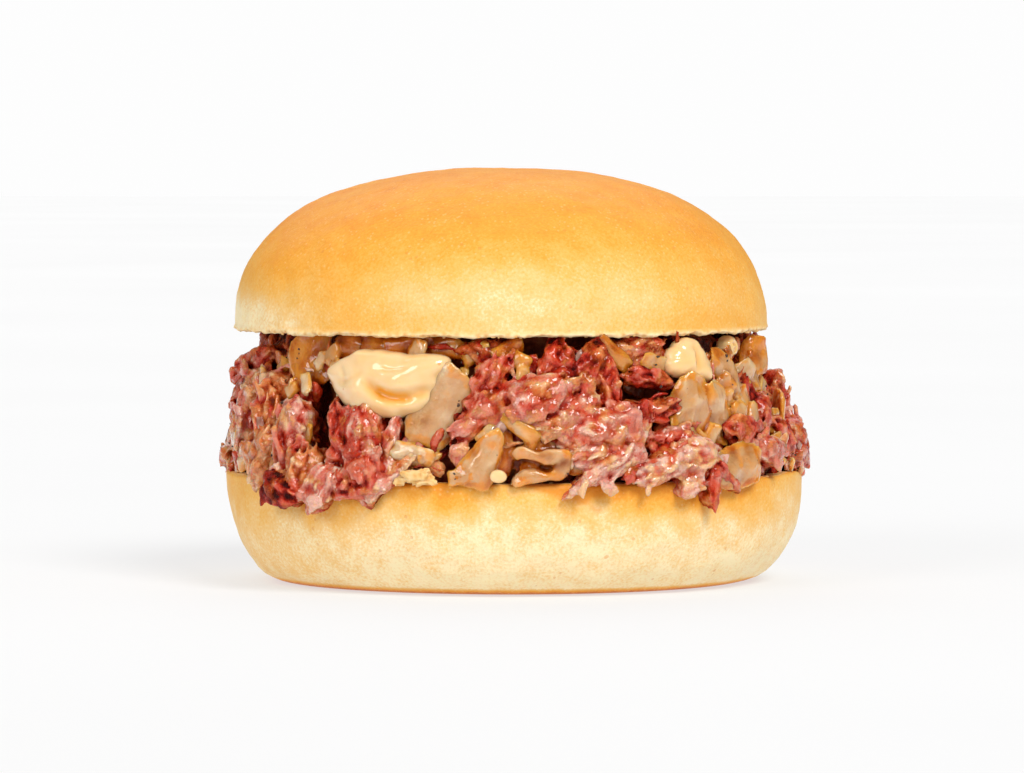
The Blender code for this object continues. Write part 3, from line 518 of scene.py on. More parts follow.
def crown_grid():
    """The crown: a superellipse dome over a dished cut face, with a torn lip, shallow
    dents, slow swells and fine pits."""
    floor_radius = np.linspace(0, CROWN_RADIUS - CRUST_EDGE, 26)
    floor_height = 1 - (floor_radius / floor_radius[-1]) ** 2
    turn = np.linspace(0, math.pi / 2, 9)[1:]
    lip_radius = CROWN_RADIUS - CRUST_EDGE + CRUST_EDGE * np.sin(turn)
    foot = 0.72 * CRUST_EDGE
    lip_height = foot * (1 - np.cos(turn))
    rise = np.linspace(0, 1, 120)[1:] ** 1.15 * math.pi / 2
    dome_radius = CROWN_RADIUS * np.cos(rise) ** (2 / CROWN_FULLNESS)
    dome_height = foot + (CROWN_HEIGHT - foot) * np.sin(rise) ** (2 / CROWN_FULLNESS)
    dome_radius[-1] = 0.0
    radius = np.concatenate([floor_radius, lip_radius, dome_radius])
    height = np.concatenate([floor_height, lip_height, dome_height])
    grid = turned_profile(radius, height, 0.008, SEED + 1)
    grid = dented(grid, CROWN_DENTS)
    cut = 1 - ease(height, 0.2, 1.1)[:, None]
    under = np.zeros_like(cut)
    under[: len(floor_radius)] = 1.0
    angle = circle(BUN_COLUMNS)
    grid = torn_lip(grid, np.minimum(1, cut) * (1 - 0.4 * under), SEED + 60)
    grid[..., 2] -= cut * (1 - under) * 0.3 * np.clip(waves(grid, 9.0, SEED + 61), 0, 1)
    skin = (1 - cut) * np.ones(grid.shape[:2])
    relief = swells(grid, SEED + 62, (0.16, 17, 0), (0.05, 5, 1), (0.018, 1.9, 2))
    low_left = ease(-grid[..., 0], 22, 44) * (1 - ease(grid[..., 2], 4, 11))
    wrinkles = np.sin(46 * angle + 2.2 * waves(grid, 11.0, SEED + 65))
    relief += 0.10 * low_left * wrinkles
    grid = moved(grid, skin * (relief - 0.15))
    share = np.clip(grid[..., 2] / CROWN_HEIGHT, 0, 1)
    front = ease(-grid[..., 1], 0, 30)
    # The crust is browner towards its top; its front's middle is painted paler, as the light that falls
    # fullest there.
    painted_front_light = front * np.exp(-(((grid[..., 0] - 4) / 34) ** 2)) * (1 - ease(share, 0.10, 0.98))
    bake_and_shading = 0.47 + 0.26 * ease(share, 0.0, 0.75) - 0.345 * painted_front_light
    bake_and_shading += 0.05 * ease(-grid[..., 0], 0, 36) - 0.44 * low_left * (1 - ease(share, 0.06, 0.40))
    bake_and_shading += -0.16 * ease(-grid[..., 0], 38, 47)
    bake_and_shading += 0.13 * front * (1 - ease(share, 0.04, 0.30)) - 0.10 * ease(grid[..., 0], 34, 48)
    bake_and_shading += swells(grid, SEED + 66, (0.034, 21, 0), (0.036, 6, 1))
    crumb = np.maximum(under, 1 - ease(height, 0.25, 0.95)[:, None]) * np.ones(grid.shape[:2])
    grid[..., 0] += CROWN_SHIFT
    grid[..., 2] += CROWN_FLOOR
    return grid, bake_and_shading, crumb


def heel_grid():
    """The heel: a flat foot, a side that bulges as a quarter ellipse, a torn cut edge and a
    slightly dished cut face."""
    foot_radius = np.linspace(0, HEEL_FOOT_RADIUS, 16)
    turn = np.linspace(0, math.pi / 2, 70)[1:]
    side_radius = HEEL_FOOT_RADIUS + (HEEL_RADIUS - HEEL_FOOT_RADIUS) * np.sin(turn)
    side_height = HEEL_BULGE_HEIGHT * (1 - np.cos(turn))
    wall_height = np.linspace(HEEL_BULGE_HEIGHT, HEEL_HEIGHT - CRUST_EDGE, 12)[1:]
    wall_radius = np.full(11, HEEL_RADIUS)
    bend = np.linspace(0, math.pi / 2, 8)[1:]
    lip_radius = HEEL_RADIUS - CRUST_EDGE * (1 - np.cos(bend))
    lip_height = HEEL_HEIGHT - CRUST_EDGE * (1 - np.sin(bend))
    top_radius = np.linspace(HEEL_RADIUS - CRUST_EDGE, 0, 26)[1:]
    top_height = HEEL_HEIGHT - 0.5 * ease(-top_radius, -HEEL_RADIUS, -0.6 * HEEL_RADIUS)
    radius = np.concatenate([foot_radius, side_radius, wall_radius, lip_radius, top_radius])
    height = np.concatenate([0 * foot_radius, side_height, wall_height, lip_height, top_height])
    grid = turned_profile(radius, height, 0.006, SEED)
    grid[..., 1] *= HEEL_DEPTH_SHARE
    grid = dented(grid, HEEL_DENTS)
    rows = np.arange(len(radius))
    lip_from = len(foot_radius) + len(side_radius) + len(wall_radius)
    cut = ease(rows, lip_from + 4, lip_from + 9)[:, None] * np.ones((1, BUN_COLUMNS))
    grid = torn_lip(grid, cut, SEED + 70)
    skin = (1 - cut) * ease(grid[..., 2], 0.0, 1.2)
    relief = swells(grid, SEED + 72, (0.15, 16, 0), (0.05, 5, 1), (0.02, 1.8, 2))
    grid = moved(grid, skin * (relief - 0.1))
    grid[..., 2] = np.maximum(grid[..., 2], 0.0)
    angle = azimuths(grid)
    share = grid[..., 2] / HEEL_HEIGHT
    # Browner towards the top; the left side is painted darker, as the side in shade.
    bake_and_shading = 0.05 + 0.13 * ease(share, 0.35, 1.0) + 0.16 * ease(-grid[..., 0], 18, 50)
    for middle, half, low, gain in HEEL_BROWNING:
        outward = ease(share + 0.05 * waves(grid, 6.0, SEED + 77), low, 1.0)
        bake_and_shading += gain * bell(angle, middle, half) * outward
    # Dark brown along the very foot.
    bake_and_shading += 0.95 * (1 - ease(share, 0.010, 0.07))
    patches = 0.07 * waves(grid, 15.0, SEED + 75) * ease(share, 0.2, 0.9)
    bake_and_shading += patches + 0.045 * waves(grid, 4.5, SEED + 76)
    return grid, bake_and_shading, cut


def juice_stain(grid):
    """How far the heap's juices have soaked in, 0 to 1: uneven runs down from the heel's rim
    below the wetter parts of the heap."""
    angle = azimuths(grid)
    total = np.zeros(grid.shape[:2])
    for middle, half, reach in JUICE_STAINS:
        uneven = 1 + 0.4 * waves(grid, 3.0, SEED + 80 + middle % 7)
        depth = reach * bell(angle, middle, half) * uneven
        total = np.maximum(total, 1 - ease(HEEL_HEIGHT - grid[..., 2], 0.5 * depth, depth + 0.3))
    return total * (grid[..., 2] > 8)


# ---------------------------------------------------------------- beef, onion, dressing


def soft(value, power):
    """A value raised to a power with its sign kept: squares off a circle below 1."""
    return np.sign(value) * np.abs(value) ** power


def lump_grid(length, width, front, back, seed, rows, columns, fibre):
    """A torn chunk of beef with its fibres along X: a squared-off oval with blunt ragged
    ends. Over it run billows that wander: a lumpy size, one drawn out along X as bundles of
    fibre and a finer one as single fibres. Returns the points and how high each stands."""
    draw = np.random.default_rng(seed)
    along = np.sin(np.linspace(-1, 1, rows) * math.pi / 2)[:, None]
    share = np.linspace(0, 1, columns, endpoint=False)[None]
    turn = -math.pi / 2 + math.tau * share + 0.38 * np.sin(math.tau * share)
    girth = (1 - np.abs(along) ** draw.uniform(2.6, 4.6)) ** 0.5
    size = girth * lobes(turn, 0.10, seed) * (1 + 0.10 * np.sin(2.4 * along + draw.uniform(0, math.tau)))
    y = size * soft(np.cos(turn), 0.75) * width / 2
    up = size * soft(np.sin(turn), 0.75)
    z = np.where(up > 0, front * up, back * up)
    x = along * length / 2 * np.ones_like(y)
    round_it = np.stack([0 * x, np.cos(turn) * width / 2 + 0 * y, np.sin(turn) * front + 0 * y], axis=2)
    torn = swells(round_it, seed, (1, 2.1, 3), (0.6, 1, 4))
    x = x + np.sign(along) * np.abs(along) ** 4 * torn * 0.12 * min(length, 9.0)
    y = y + draw.uniform(-0.10, 0.10) * length * along**2
    grid = np.stack([x, y, z], axis=2)
    step = min(width, 2 * front)
    wander = np.stack([waves(grid, 4.0, seed + turn_by) for turn_by in (6, 7, 8)], axis=2)
    warped = grid + 0.5 * wander
    lumpy = billow(warped * (0.75, 1, 1), 0.75 * step + 0.4, seed + 9)
    bundles = billow(warped * (0.36, 1, 1), 0.42 * step + 0.4, seed)
    fibres = billow(warped * (0.28, 1, 1), 0.16 * step + 0.30, seed + 1)
    rise = 0.10 * (lumpy - 0.8) + fibre * 0.110 * (bundles - 0.8) + fibre * 0.060 * (fibres - 0.8)
    rise = step * rise + 0.045 * waves(grid, 0.62, seed + 2)
    return moved(grid, rise), 0.35 * lumpy + 0.35 * bundles + 0.30 * fibres


def sunk(points):
    """How far points lie below the heap's outline, and 0 above it: pieces are painted darker by
    it, as the shade deep in the heap.
    """
    radius = np.hypot(points[..., 0], points[..., 1])
    return np.maximum(heap_radius(points[..., 2], azimuths(points)) - radius, 0)


def in_opening(azimuth, height):
    """Whether a place lies in one of the dark openings."""
    return any(
        ((azimuth - middle) / half) ** 2 + ((height - up) / tall) ** 2 < 1
        for middle, up, half, tall in OPENINGS
    )


def torn_bits(skins, place, tone, amber, count, seed, stringy):
    """Torn bits on the face of a chunk of beef, each half sunk at the height that the
    chunk's oval has there: blunt scraps that lie any way, and strands that more or less
    follow its fibres, as large a share of them as stringy says."""
    azimuth, height, depth, roll, _, length, width, thickness = place
    draw = random.Random(seed)
    c, s = math.cos(math.radians(roll)), math.sin(math.radians(roll))
    for index in range(count):
        strand = draw.random() < stringy
        size = draw.uniform(0.35, 0.8) * length if strand else draw.uniform(1.6, 4.6)
        reach = max(0.1, 0.5 - 0.42 * size / length) if strand else 0.46
        u, v = draw.uniform(-reach, reach) * length, draw.uniform(-0.48, 0.48) * width
        off = (1 - min(1.0, (2 * v / width) ** 2)) ** 0.4
        face = thickness / 2 * off * (1 - (2 * u / length) ** 4) ** 0.4
        spot = azimuth + math.degrees((u * c - v * s) / 48), height + u * s + v * c
        shade, fatty = tone + draw.gauss(0.0, 0.10), amber + draw.gauss(0, 0.2)
        if strand:
            across = draw.uniform(0.7, 1.5)
            high = across * draw.uniform(0.6, 0.9)
            grid = strand_grid(size, across, high, seed + 11 * index + 1, 22, 9, 0.05)
            turn, lift = roll + draw.gauss(0, 8), draw.uniform(0.05, 0.40)
        else:
            across, high = size * draw.uniform(0.45, 0.9), draw.uniform(0.6, 1.3)
            grid = scrap_grid(size, across, high, seed + 11 * index + 1)
            turn, lift = draw.uniform(0, 180), draw.uniform(-0.15, 0.3)
        placed = lay(grid, *spot, depth - face + lift, turn, draw.uniform(-8, 8))
        # Deeper bits are painted darker, as shade.
        skins.add(placed, shade - 0.09 * sunk(placed), grid[..., 0], grid[..., 1], seed % 97 + index, fatty)


def blunt_grid(length, width, thickness, rows, columns, power, round_face=False):
    """A superellipsoid with soft corners by its power; its face may be round."""
    turn = np.linspace(0, math.pi, rows)[:, None]
    angle = circle(columns)[None]
    up = np.sin(angle) if round_face else soft(np.sin(angle), power)
    x = soft(np.cos(turn), power) * length / 2 * np.ones_like(angle)
    y = soft(np.sin(turn), power) * soft(np.cos(angle), power) * width / 2
    z = soft(np.sin(turn), power) * up * thickness / 2
    return np.stack([x, y, z], axis=2)


def scrap_grid(length, width, thickness, seed, rows=11, columns=14):
    """A blunt torn scrap: a superellipsoid, swelled and shrunk by uneven waves of most of its
    length and by shorter ones."""
    power = np.random.default_rng(seed).uniform(0.45, 0.85)
    grid = blunt_grid(length, width, thickness, rows, columns, power, round_face=True)
    return grid * (1 + swells(grid, seed, (0.26, 0.8 * length, 0), (0.12, 0.9, 1)))[..., None]


def read_all(items, key, width, kind=np.float32):
    """What each of a mesh's items holds under key, as rows of width numbers."""
    held = np.empty(len(items) * width, kind)
    items.foreach_get(key, held)
    return held.reshape(-1, width)


def with_modifiers(made):
    """The mesh of an object with its modifiers applied; they are then taken off it."""
    bpy.context.view_layer.update()
    graph = bpy.context.evaluated_depsgraph_get()
    mesh = bpy.data.meshes.new_from_object(made.evaluated_get(graph))
    made.modifiers.clear()
    return mesh


def hollowness(mesh, points, normals):
    """How far each point lies below the mean of its neighbours, in millimetres: the mean is
    taken some times over for narrow valleys, and more often for wide ones."""
    count = len(points)
    one, other = read_all(mesh.edges, "vertices", 2, np.int32).T
    beside = np.maximum(np.bincount(one, minlength=count) + np.bincount(other, minlength=count), 1)
    mean, hollow = points, 0.0
    for turn in range(1, WIDE_VALLEY + 1):
        totals = [
            np.bincount(one, mean[other, way], count) + np.bincount(other, mean[one, way], count)
            for way in range(3)
        ]
        mean = np.stack(totals, axis=1) / beside[:, None]
        if turn in (NARROW_VALLEY, WIDE_VALLEY):
            hollow = hollow + 0.6 * np.clip(((mean - points) * normals).sum(axis=1), -0.25, 0.6)
    return hollow


def fused(skins, name, surface, cell, size, rounds, shading):
    """Fuses closed skins that overlap into one wet skin: a grid of cells is laid over them
    and its steps are smoothed. Each new point takes the values of the nearest old point,
    and moves along its normal by short waves, as far as size. The tone and amber change
    with how hollow a point is, by the first two numbers of shading: painted shade in the
    hollows and painted light on the crests. All is also painted deeper in colour under the
    crown, as the crown's shade, by the third."""
    rough = skins.made(name + "_rough", surface)
    for label, _, key, width in CARRIED:
        shown = np.zeros((len(rough.data.vertices), 4), np.float32)
        shown[:, :width] = read_all(rough.data.attributes[label].data, key, width)
        layer = rough.data.color_attributes.new("carried_" + label, "FLOAT_COLOR", "POINT")
        layer.data.foreach_set("color", shown.ravel())
    cells = rough.modifiers.new("cells", "REMESH")
    cells.mode = "VOXEL"
    cells.voxel_size = cell * MM
    smooth = rough.modifiers.new("smooth", "SMOOTH")
    smooth.iterations = rounds
    smooth.factor = 0.5
    made = in_scene(name, with_modifiers(rough))
    for label, *_ in CARRIED:
        made.data.color_attributes.new("carried_" + label, "FLOAT_COLOR", "POINT")
    carry = made.modifiers.new("carry", "DATA_TRANSFER")
    carry.object = rough
    carry.use_vert_data = True
    carry.data_types_verts = {"COLOR_VERTEX"}
    carry.vert_mapping = "NEAREST"
    carry.layers_vcol_vert_select_src = "ALL"
    carry.layers_vcol_vert_select_dst = "NAME"
    mesh = made.data = with_modifiers(made)
    bpy.data.objects.remove(rough)
    points = read_all(mesh.vertices, "co", 3) / MM
    normals = read_all(mesh.vertex_normals, "vector", 3)
    hollow = hollowness(mesh, points, normals)
    for_tone, for_amber, in_shade = shading
    # Painted shade in hollows and painted light on crests, and painted shade under the crown.
    shade = in_shade * ease(points[:, 2], *SHADE_UNDER_CROWN)
    change = {"tone": for_tone * hollow - shade, "amber": for_amber * hollow + shade, "grain": 0 * hollow}
    for label, kind, key, width in CARRIED:
        carried = mesh.color_attributes["carried_" + label]
        values = read_all(carried.data, "color", 4)[:, :width] + change[label][:, None]
        mesh.color_attributes.remove(carried)
        layer = mesh.attributes.new(label, kind, "POINT")
        layer.data.foreach_set(key, values.astype(np.float32).ravel())
    rise = size * swells(points, SEED + 90, (1, 0.9, 0), (0.8, 1.8, 1))
    points = kept_inside(points + normals * rise[:, None])
    mesh.vertices.foreach_set("co", (points * MM).astype(np.float32).ravel())
    mesh.materials.clear()
    mesh.materials.append(surface)
    mesh.shade_smooth()
    mesh.update()
    return made


def add_lump(skins, place, tone, fibre, seed, rows, columns, root=5.4, amber=0.2):
    """One chunk of beef, laid in the heap's side; its valleys, and its parts deep below the
    heap's outline, are painted darker, as shade.
    """
    azimuth, height, depth, roll, pitch, length, width, thickness = place
    front = thickness / 2
    back = max(front, root - depth)
    grid, high = lump_grid(length, width, front, back, seed, rows, columns, fibre)
    along, around = grid[..., 0], np.arctan2(grid[..., 2], grid[..., 1]) * (width + thickness) / 4
    placed = lay(grid, azimuth, height, depth, roll, pitch)
    shade = tone + 0.42 * (high - 0.78) + 0.14 * waves(grid, 3.0, seed + 5) - 0.14 * sunk(placed)
    skins.add(placed, shade, along, around, seed % 97, amber + 0.25 * waves(grid, 5.0, seed + 12))


def strand_grid(length, width, height, seed, rows, columns, curve=0.09):
    """A loose shred: an oval section carried along a line that curves in the heap's side,
    lifts off it here and there, twists, and tapers at both ends."""
    draw = np.random.default_rng(seed)
    along = np.linspace(-1, 1, rows)[:, None]
    turn = np.linspace(-math.pi / 2, 1.5 * math.pi, columns, endpoint=False)[None]
    one, two, three = draw.uniform(0, math.tau, 3)
    bow = draw.uniform(-curve, curve)
    side = length * (bow * along**2 + 0.04 * np.sin(4 * along + one))
    lift = length * 0.05 * np.sin(2.6 * along + two)
    girth = (1 - along**4) ** 0.5 * (1 + 0.25 * np.sin(5 * along + three))
    twist = 1.2 * along + two
    across, up = np.cos(turn) * width / 2, np.sin(turn) * height / 2
    y = side + girth * (across * np.cos(twist) - up * np.sin(twist))
    z = lift + girth * (across * np.sin(twist) + up * np.cos(twist))
    return np.stack(np.broadcast_arrays(along * length / 2, y, z), axis=2)


def petal_grid(length, width, thickness, curl, taper, crumple, seed, rows=49, columns=80):
    """An onion petal: a squared-off slab with an uneven cut outline that narrows towards
    +X, bent about its length to the radius curl, with buckles as strong as crumple, faint
    lengthwise ribs and a thin rim. Returns the points, how near each is to the rim, and
    its place along and across."""
    draw = np.random.default_rng(seed)
    angle = circle(columns)
    square = 5 if width < 5 else 2.8
    corner = (np.abs(np.cos(angle)) ** square + np.abs(np.sin(angle)) ** square) ** (-1 / square)
    outline = corner * lobes(angle, 0.08, seed)
    for count, share in ((7, 0.018), (12, 0.014), (19, 0.010)):
        outline = outline * (1 + share * np.cos(count * angle + draw.uniform(0, math.tau)))
    turn = np.linspace(0, math.pi, rows)
    reach = (np.sin(turn) ** 0.6)[:, None]
    shell = soft(np.cos(turn), 0.6)[:, None] * (1 - 0.45 * reach**3) * thickness / 2
    x = reach * outline * np.cos(angle) * length / 2
    y = reach * outline * np.sin(angle) * width / 2 * (1 - taper * x / length)
    flat = np.stack([x, y, 0 * x], axis=2)
    ribs = 0.034 * np.cos(math.tau * y / draw.uniform(0.9, 1.4) + 0.8 * waves(flat, 6.0, seed + 2))
    buckle = 0.26 * waves(flat, 7.5, seed + 3)
    folds = 0.18 * (0.8 - billow(flat * (0.55, 1, 1) + 0.4 * buckle[..., None], 4.2, seed + 4))
    ruffle = 0.30 * reach**4 * np.sin(draw.integers(3, 6) * angle + draw.uniform(0, math.tau))
    shell = shell + ribs + crumple * (buckle + folds + ruffle) + draw.uniform(-0.012, 0.020) * x**2
    bend = y / curl
    arm = curl + shell
    grid = np.stack(np.broadcast_arrays(x, arm * np.sin(bend), arm * np.cos(bend) - curl), axis=2)
    return grid, reach * np.ones_like(x), x, y


def add_petal(skins, place, tone, amber, seed, rows=49, columns=80):
    """One onion petal, laid in the heap's side: paler towards one end, with an amber band
    along its rim and a thin pale edge; its deeper parts are painted darker, as shade."""
    azimuth, height, depth, roll, pitch, lean, curl, length, width, thickness, taper, crumple = place
    grid, rim, x, y = petal_grid(length, width, thickness, curl, taper, crumple, seed, rows, columns)
    uneven = rim + 0.07 * waves(grid, 2.5, seed + 7)
    band = ease(uneven, 0.66, 0.84)
    edge = ease(uneven, 0.95, 1.0)
    placed = lay(grid, azimuth, height, depth, roll, pitch, lean)
    shade = tone + 0.12 * x / length + 0.09 * waves(grid, 4.5, seed + 6)
    shade = shade - 0.12 * band + 0.10 * edge - 0.08 * sunk(placed)
    fat = amber + 1.2 * band - 0.4 * edge + swells(grid, seed, (0.35, 7, 8), (0.25, 2.5, 9))
    skins.add(placed, shade, x, y, seed % 89, fat)


def ring_grid(length, height, start, end, width, thickness, seed, rows=70, columns=32):
    """A band of onion seen edge-on: a squared-off section carried round part of an oval
    whose line wanders a little; it thins to both ends. Returns the points, the way along
    and the way round."""
    turn = np.radians(np.linspace(start, end, rows))[:, None]
    up = np.sin(turn) * height / 2 * (1 - 0.3 * np.cos(turn))
    line = np.stack([np.cos(turn) * length / 2, up, 0 * turn], axis=2)
    line[..., 1] += 0.45 * np.sin(3.0 * turn + 0.6) + 0.5 * np.cos(turn) ** 2 * np.sin(turn)
    away = np.stack([np.cos(turn) * height, np.sin(turn) * length, 0 * turn], axis=2)
    away /= np.linalg.norm(away, axis=2, keepdims=True)
    side = circle(columns)[None]
    ends = np.clip(1 - np.abs(np.linspace(-1, 1, rows)) ** 8, 0, 1)[:, None] ** 0.5
    thick = thickness / 2 * ends * (1 + 0.34 * np.sin(2.2 * turn + 1.0) + 0.10 * np.sin(7 * turn))
    across = soft(np.cos(side), 0.5) * thick
    deep = soft(np.sin(side), 0.4) * width / 2 * (0.35 + 0.65 * ends) * (1 + 0.10 * np.sin(2 * turn))
    grid = line + away * across[..., None] + np.array([0, 0, 1.0]) * deep[..., None]
    grid[..., 2] += 0.9 * np.sin(turn * 0.7)
    grid = moved(grid, swells(grid, seed, (0.06, 1.6, 0), (0.1, 4, 1)))
    return grid, np.degrees(turn) / 18 * np.ones_like(across), deep


def bit_grid(length, width, thickness, seed, rows, columns, power=None):
    """A small uneven bit: a superellipsoid, swelled and shrunk by uneven waves."""
    power = power or np.random.default_rng(seed).uniform(0.5, 0.8)
    grid = blunt_grid(length, width, thickness, rows, columns, power)
    uneven = 0.16 if power < 1 else 0.05
    return grid * (1 + uneven * waves(grid, 0.9 * length, seed))[..., None]


def arc_crease(x, y, middle_x, middle_y, radius, towards, half_span, half_width):
    """A crease on an arc, 1 along its line and 0 away from it: a bell across the circle
    that fades at both ends of its span."""
    angle = np.arctan2(y - middle_y, x - middle_x) - math.radians(towards)
    angle = (angle + math.pi) % math.tau - math.pi
    off = (np.hypot(x - middle_x, y - middle_y) - radius) / half_width
    return np.exp(-(off**2)) * (1 - ease(np.abs(angle), 0.55 * half_span, half_span))


def dressing_grid(length, width, thickness, swell, tails, creases, seed, rows=61, columns=120):
    """A run of dressing: a thick drop with a lobed outline and tails, full in front and flat
    behind, with creases and swells. Returns the points and how deep each lies in a
    crease."""
    angle = circle(columns)
    outline = lobes(angle, swell, seed)
    for tail_angle, tail_reach, tail_width in tails:
        away = (angle - math.radians(tail_angle) + math.pi) % math.tau - math.pi
        outline = outline + tail_reach * np.exp(-((away / tail_width) ** 2))
    outline = outline * (1 + 0.02 * np.cos(9 * angle + seed) + 0.012 * np.cos(15 * angle))
    turn = np.linspace(0, math.pi, rows)[:, None]
    reach = np.sin(turn) ** 0.8
    face = soft(np.cos(turn), 0.8) * np.where(np.cos(turn) > 0, 0.58, 0.42) * thickness
    x = reach * outline * np.cos(angle) * length / 2
    y = reach * outline * np.sin(angle) * width / 2
    front = np.clip(face / (0.58 * thickness), 0, 1) ** 0.5
    folds = np.zeros_like(x)
    for *arc, rise in creases:
        folds += rise * arc_crease(x, y, *arc)
    flat = np.stack([x, y, 0 * x], axis=2)
    z = face + front * (folds + swells(flat, seed, (0.2, 8, 1), (0.05, 3, 2)))
    return np.stack(np.broadcast_arrays(x, y, z), axis=2), folds * front


# ---------------------------------------------------------------- materials


def srgb(red, green, blue):
    """A colour given as it shows, 0 to 255, in linear light with alpha."""
    shown = np.array([red, green, blue]) / 255
    return (*np.where(shown <= 0.04045, shown / 12.92, ((shown + 0.055) / 1.055) ** 2.4), 1.0)


class Nodes:
    """A node tree and short ways to add to it. Wherever one takes a value, it also takes
    another node's output."""

    place = None

    def __init__(self, tree):
        self.tree = tree

    def put(self, value, socket):
        """Links an output to a socket, or sets the socket's own value."""
        if isinstance(value, bpy.types.NodeSocket):
            self.tree.links.new(value, socket)
        else:
            socket.default_value = value

    def add(self, kind, inputs=(), **settings):
        """A shader node with its settings, and its inputs by name or number."""
        made = self.tree.nodes.new("ShaderNode" + kind)
        for name, value in settings.items():
            setattr(made, name, value)
        for key, value in dict(inputs).items():
            self.put(value, made.inputs[key])
        return made

    def sums(self, operation, first, second, third=0.0, clamp=False):
        """The output of a Math node."""
        inputs = {0: first, 1: second, 2: third}
        return self.add("Math", inputs, operation=operation, use_clamp=clamp).outputs[0]

    def scaled(self, value, gain, offset, clamp=False):
        """A value times gain, plus offset."""
        return self.sums("MULTIPLY_ADD", value, gain, offset, clamp)

    def noise(self, scale, detail=2.0, at=None, **more):
        """Noise at the material's place or at another vector."""
        inputs = {"Vector": self.place if at is None else at, "Scale": scale, "Detail": detail, **more}
        return self.add("TexNoise", inputs).outputs["Fac"]

    def ramp(self, value, *stops):
        """The colour of a Color Ramp. A stop is its place and a colour: three numbers as it
        shows, or four in linear light."""
        made = self.add("ValToRGB", {"Fac": value})
        while len(made.color_ramp.elements) < len(stops):
            made.color_ramp.elements.new(0.5)
        for element, (place, *colour) in zip(made.color_ramp.elements, stops):
            element.position = place
            element.color = colour if len(colour) == 4 else srgb(*colour)
        return made.outputs["Color"]

    def mixed(self, share, first, second):
        """The colour of a Mix node."""
        return self.add("Mix", {0: share, 6: first, 7: second}, data_type="RGBA").outputs[2]

    def attribute(self, name, output="Fac"):
        """A mesh attribute as a number, or as its Vector."""
        return self.add("Attribute", attribute_name=name).outputs[output]

    def fibres(self, across, stretch):
        """The streaks of fibre_group along a piece: outputs Coarse, Fine and Blotch."""
        inputs = {"Grain": self.attribute("grain", "Vector"), "Across": across, "Stretch": stretch}
        return self.add("Group", inputs, node_tree=bpy.data.node_groups["fibre_streaks"]).outputs

    def specked(self, colour, share, spot, **inputs):
        """A colour with specks of another, spot, in it: see speck_group."""
        specks = self.add("Group", inputs, node_tree=bpy.data.node_groups["specks"])
        return self.mixed(self.sums("MULTIPLY", specks.outputs[0], share), colour, srgb(*spot))


class Material(Nodes):
    """A new material, whose tree ends in a Principled BSDF."""

    def __init__(self, name):
        self.made = bpy.data.materials.new(name)
        self.made.use_nodes = True
        super().__init__(self.made.node_tree)
        self.place = self.add("TexCoord").outputs["Object"]

    def shaded(self, relief=None, scatter=None, **values):
        """The material, with its shader's sockets set. relief is a height, how strongly it
        bumps and how far in metres; scatter is how much light goes below the surface, and how
        many millimetres its red, green and blue go."""
        if relief:
            bump = self.add("Bump", zip(("Height", "Strength", "Distance"), relief))
            values["Normal"] = bump.outputs[0]
        if scatter:
            values |= zip(("Subsurface_Weight", "Subsurface_Radius", "Subsurface_Scale"), (*scatter, MM))
        sockets = self.tree.nodes["Principled BSDF"].inputs
        for key, value in values.items():
            self.put(value, sockets[key.replace("_", " ")])
        return self.made


def new_group(name, outputs, vectors=(), **numbers):
    """A shader node group with inputs for vectors and numbers: its Nodes, the sockets that it
    is given and the sockets that it gives."""
    group = bpy.data.node_groups.new(name, "ShaderNodeTree")
    for label in vectors:
        group.interface.new_socket(label, in_out="INPUT", socket_type="NodeSocketVector")
    for label, value in numbers.items():
        socket = group.interface.new_socket(label, in_out="INPUT", socket_type="NodeSocketFloat")
        socket.default_value = value
    for label in outputs:
        group.interface.new_socket(label, in_out="OUTPUT", socket_type="NodeSocketFloat")
    given, out = group.nodes.new("NodeGroupInput"), group.nodes.new("NodeGroupOutput")
    return Nodes(group), given.outputs, out.inputs


def fibre_group():
    """Streaks along a piece: noise on the grain vector, drawn out along its first number,
    in a coarse and a fine size, and blotches of a third size."""
    outputs = ("Coarse", "Fine", "Blotch")
    group, given, out = new_group("fibre_streaks", outputs, ("Grain",), Across=1.6, Stretch=0.16)
    along = group.sums("MULTIPLY", given["Across"], given["Stretch"])
    scale = group.add("CombineXYZ", {0: along, 1: given["Across"], 2: 7.31}).outputs[0]
    spread = group.add("VectorMath", {0: given["Grain"], 1: scale}, operation="MULTIPLY").outputs[0]
    group.put(group.noise(1.0, 2.0, spread, Distortion=0.4), out["Coarse"])
    group.put(group.noise(3.1, 3.0, spread, Distortion=0.4), out["Fine"])
    group.put(group.noise(0.42, 3.0, given["Grain"]), out["Blotch"])


def speck_group():
    """Scattered round specks, 0 or 1, on Object coordinates: cells whose middle is nearer
    than Size, thinned by a slow noise."""
    group, given, out = new_group("specks", ("Specks",), Spacing=500.0, Size=0.2, Thinning=0.5)
    place = group.add("TexCoord").outputs["Object"]
    cells = group.add("TexVoronoi", {"Vector": place, "Scale": given["Spacing"]})
    near = group.sums("LESS_THAN", cells.outputs["Distance"], given["Size"])
    some = group.sums("GREATER_THAN", group.noise(160.0, 1.0, place), given["Thinning"])
    group.put(group.sums("MULTIPLY", near, some), out["Specks"])


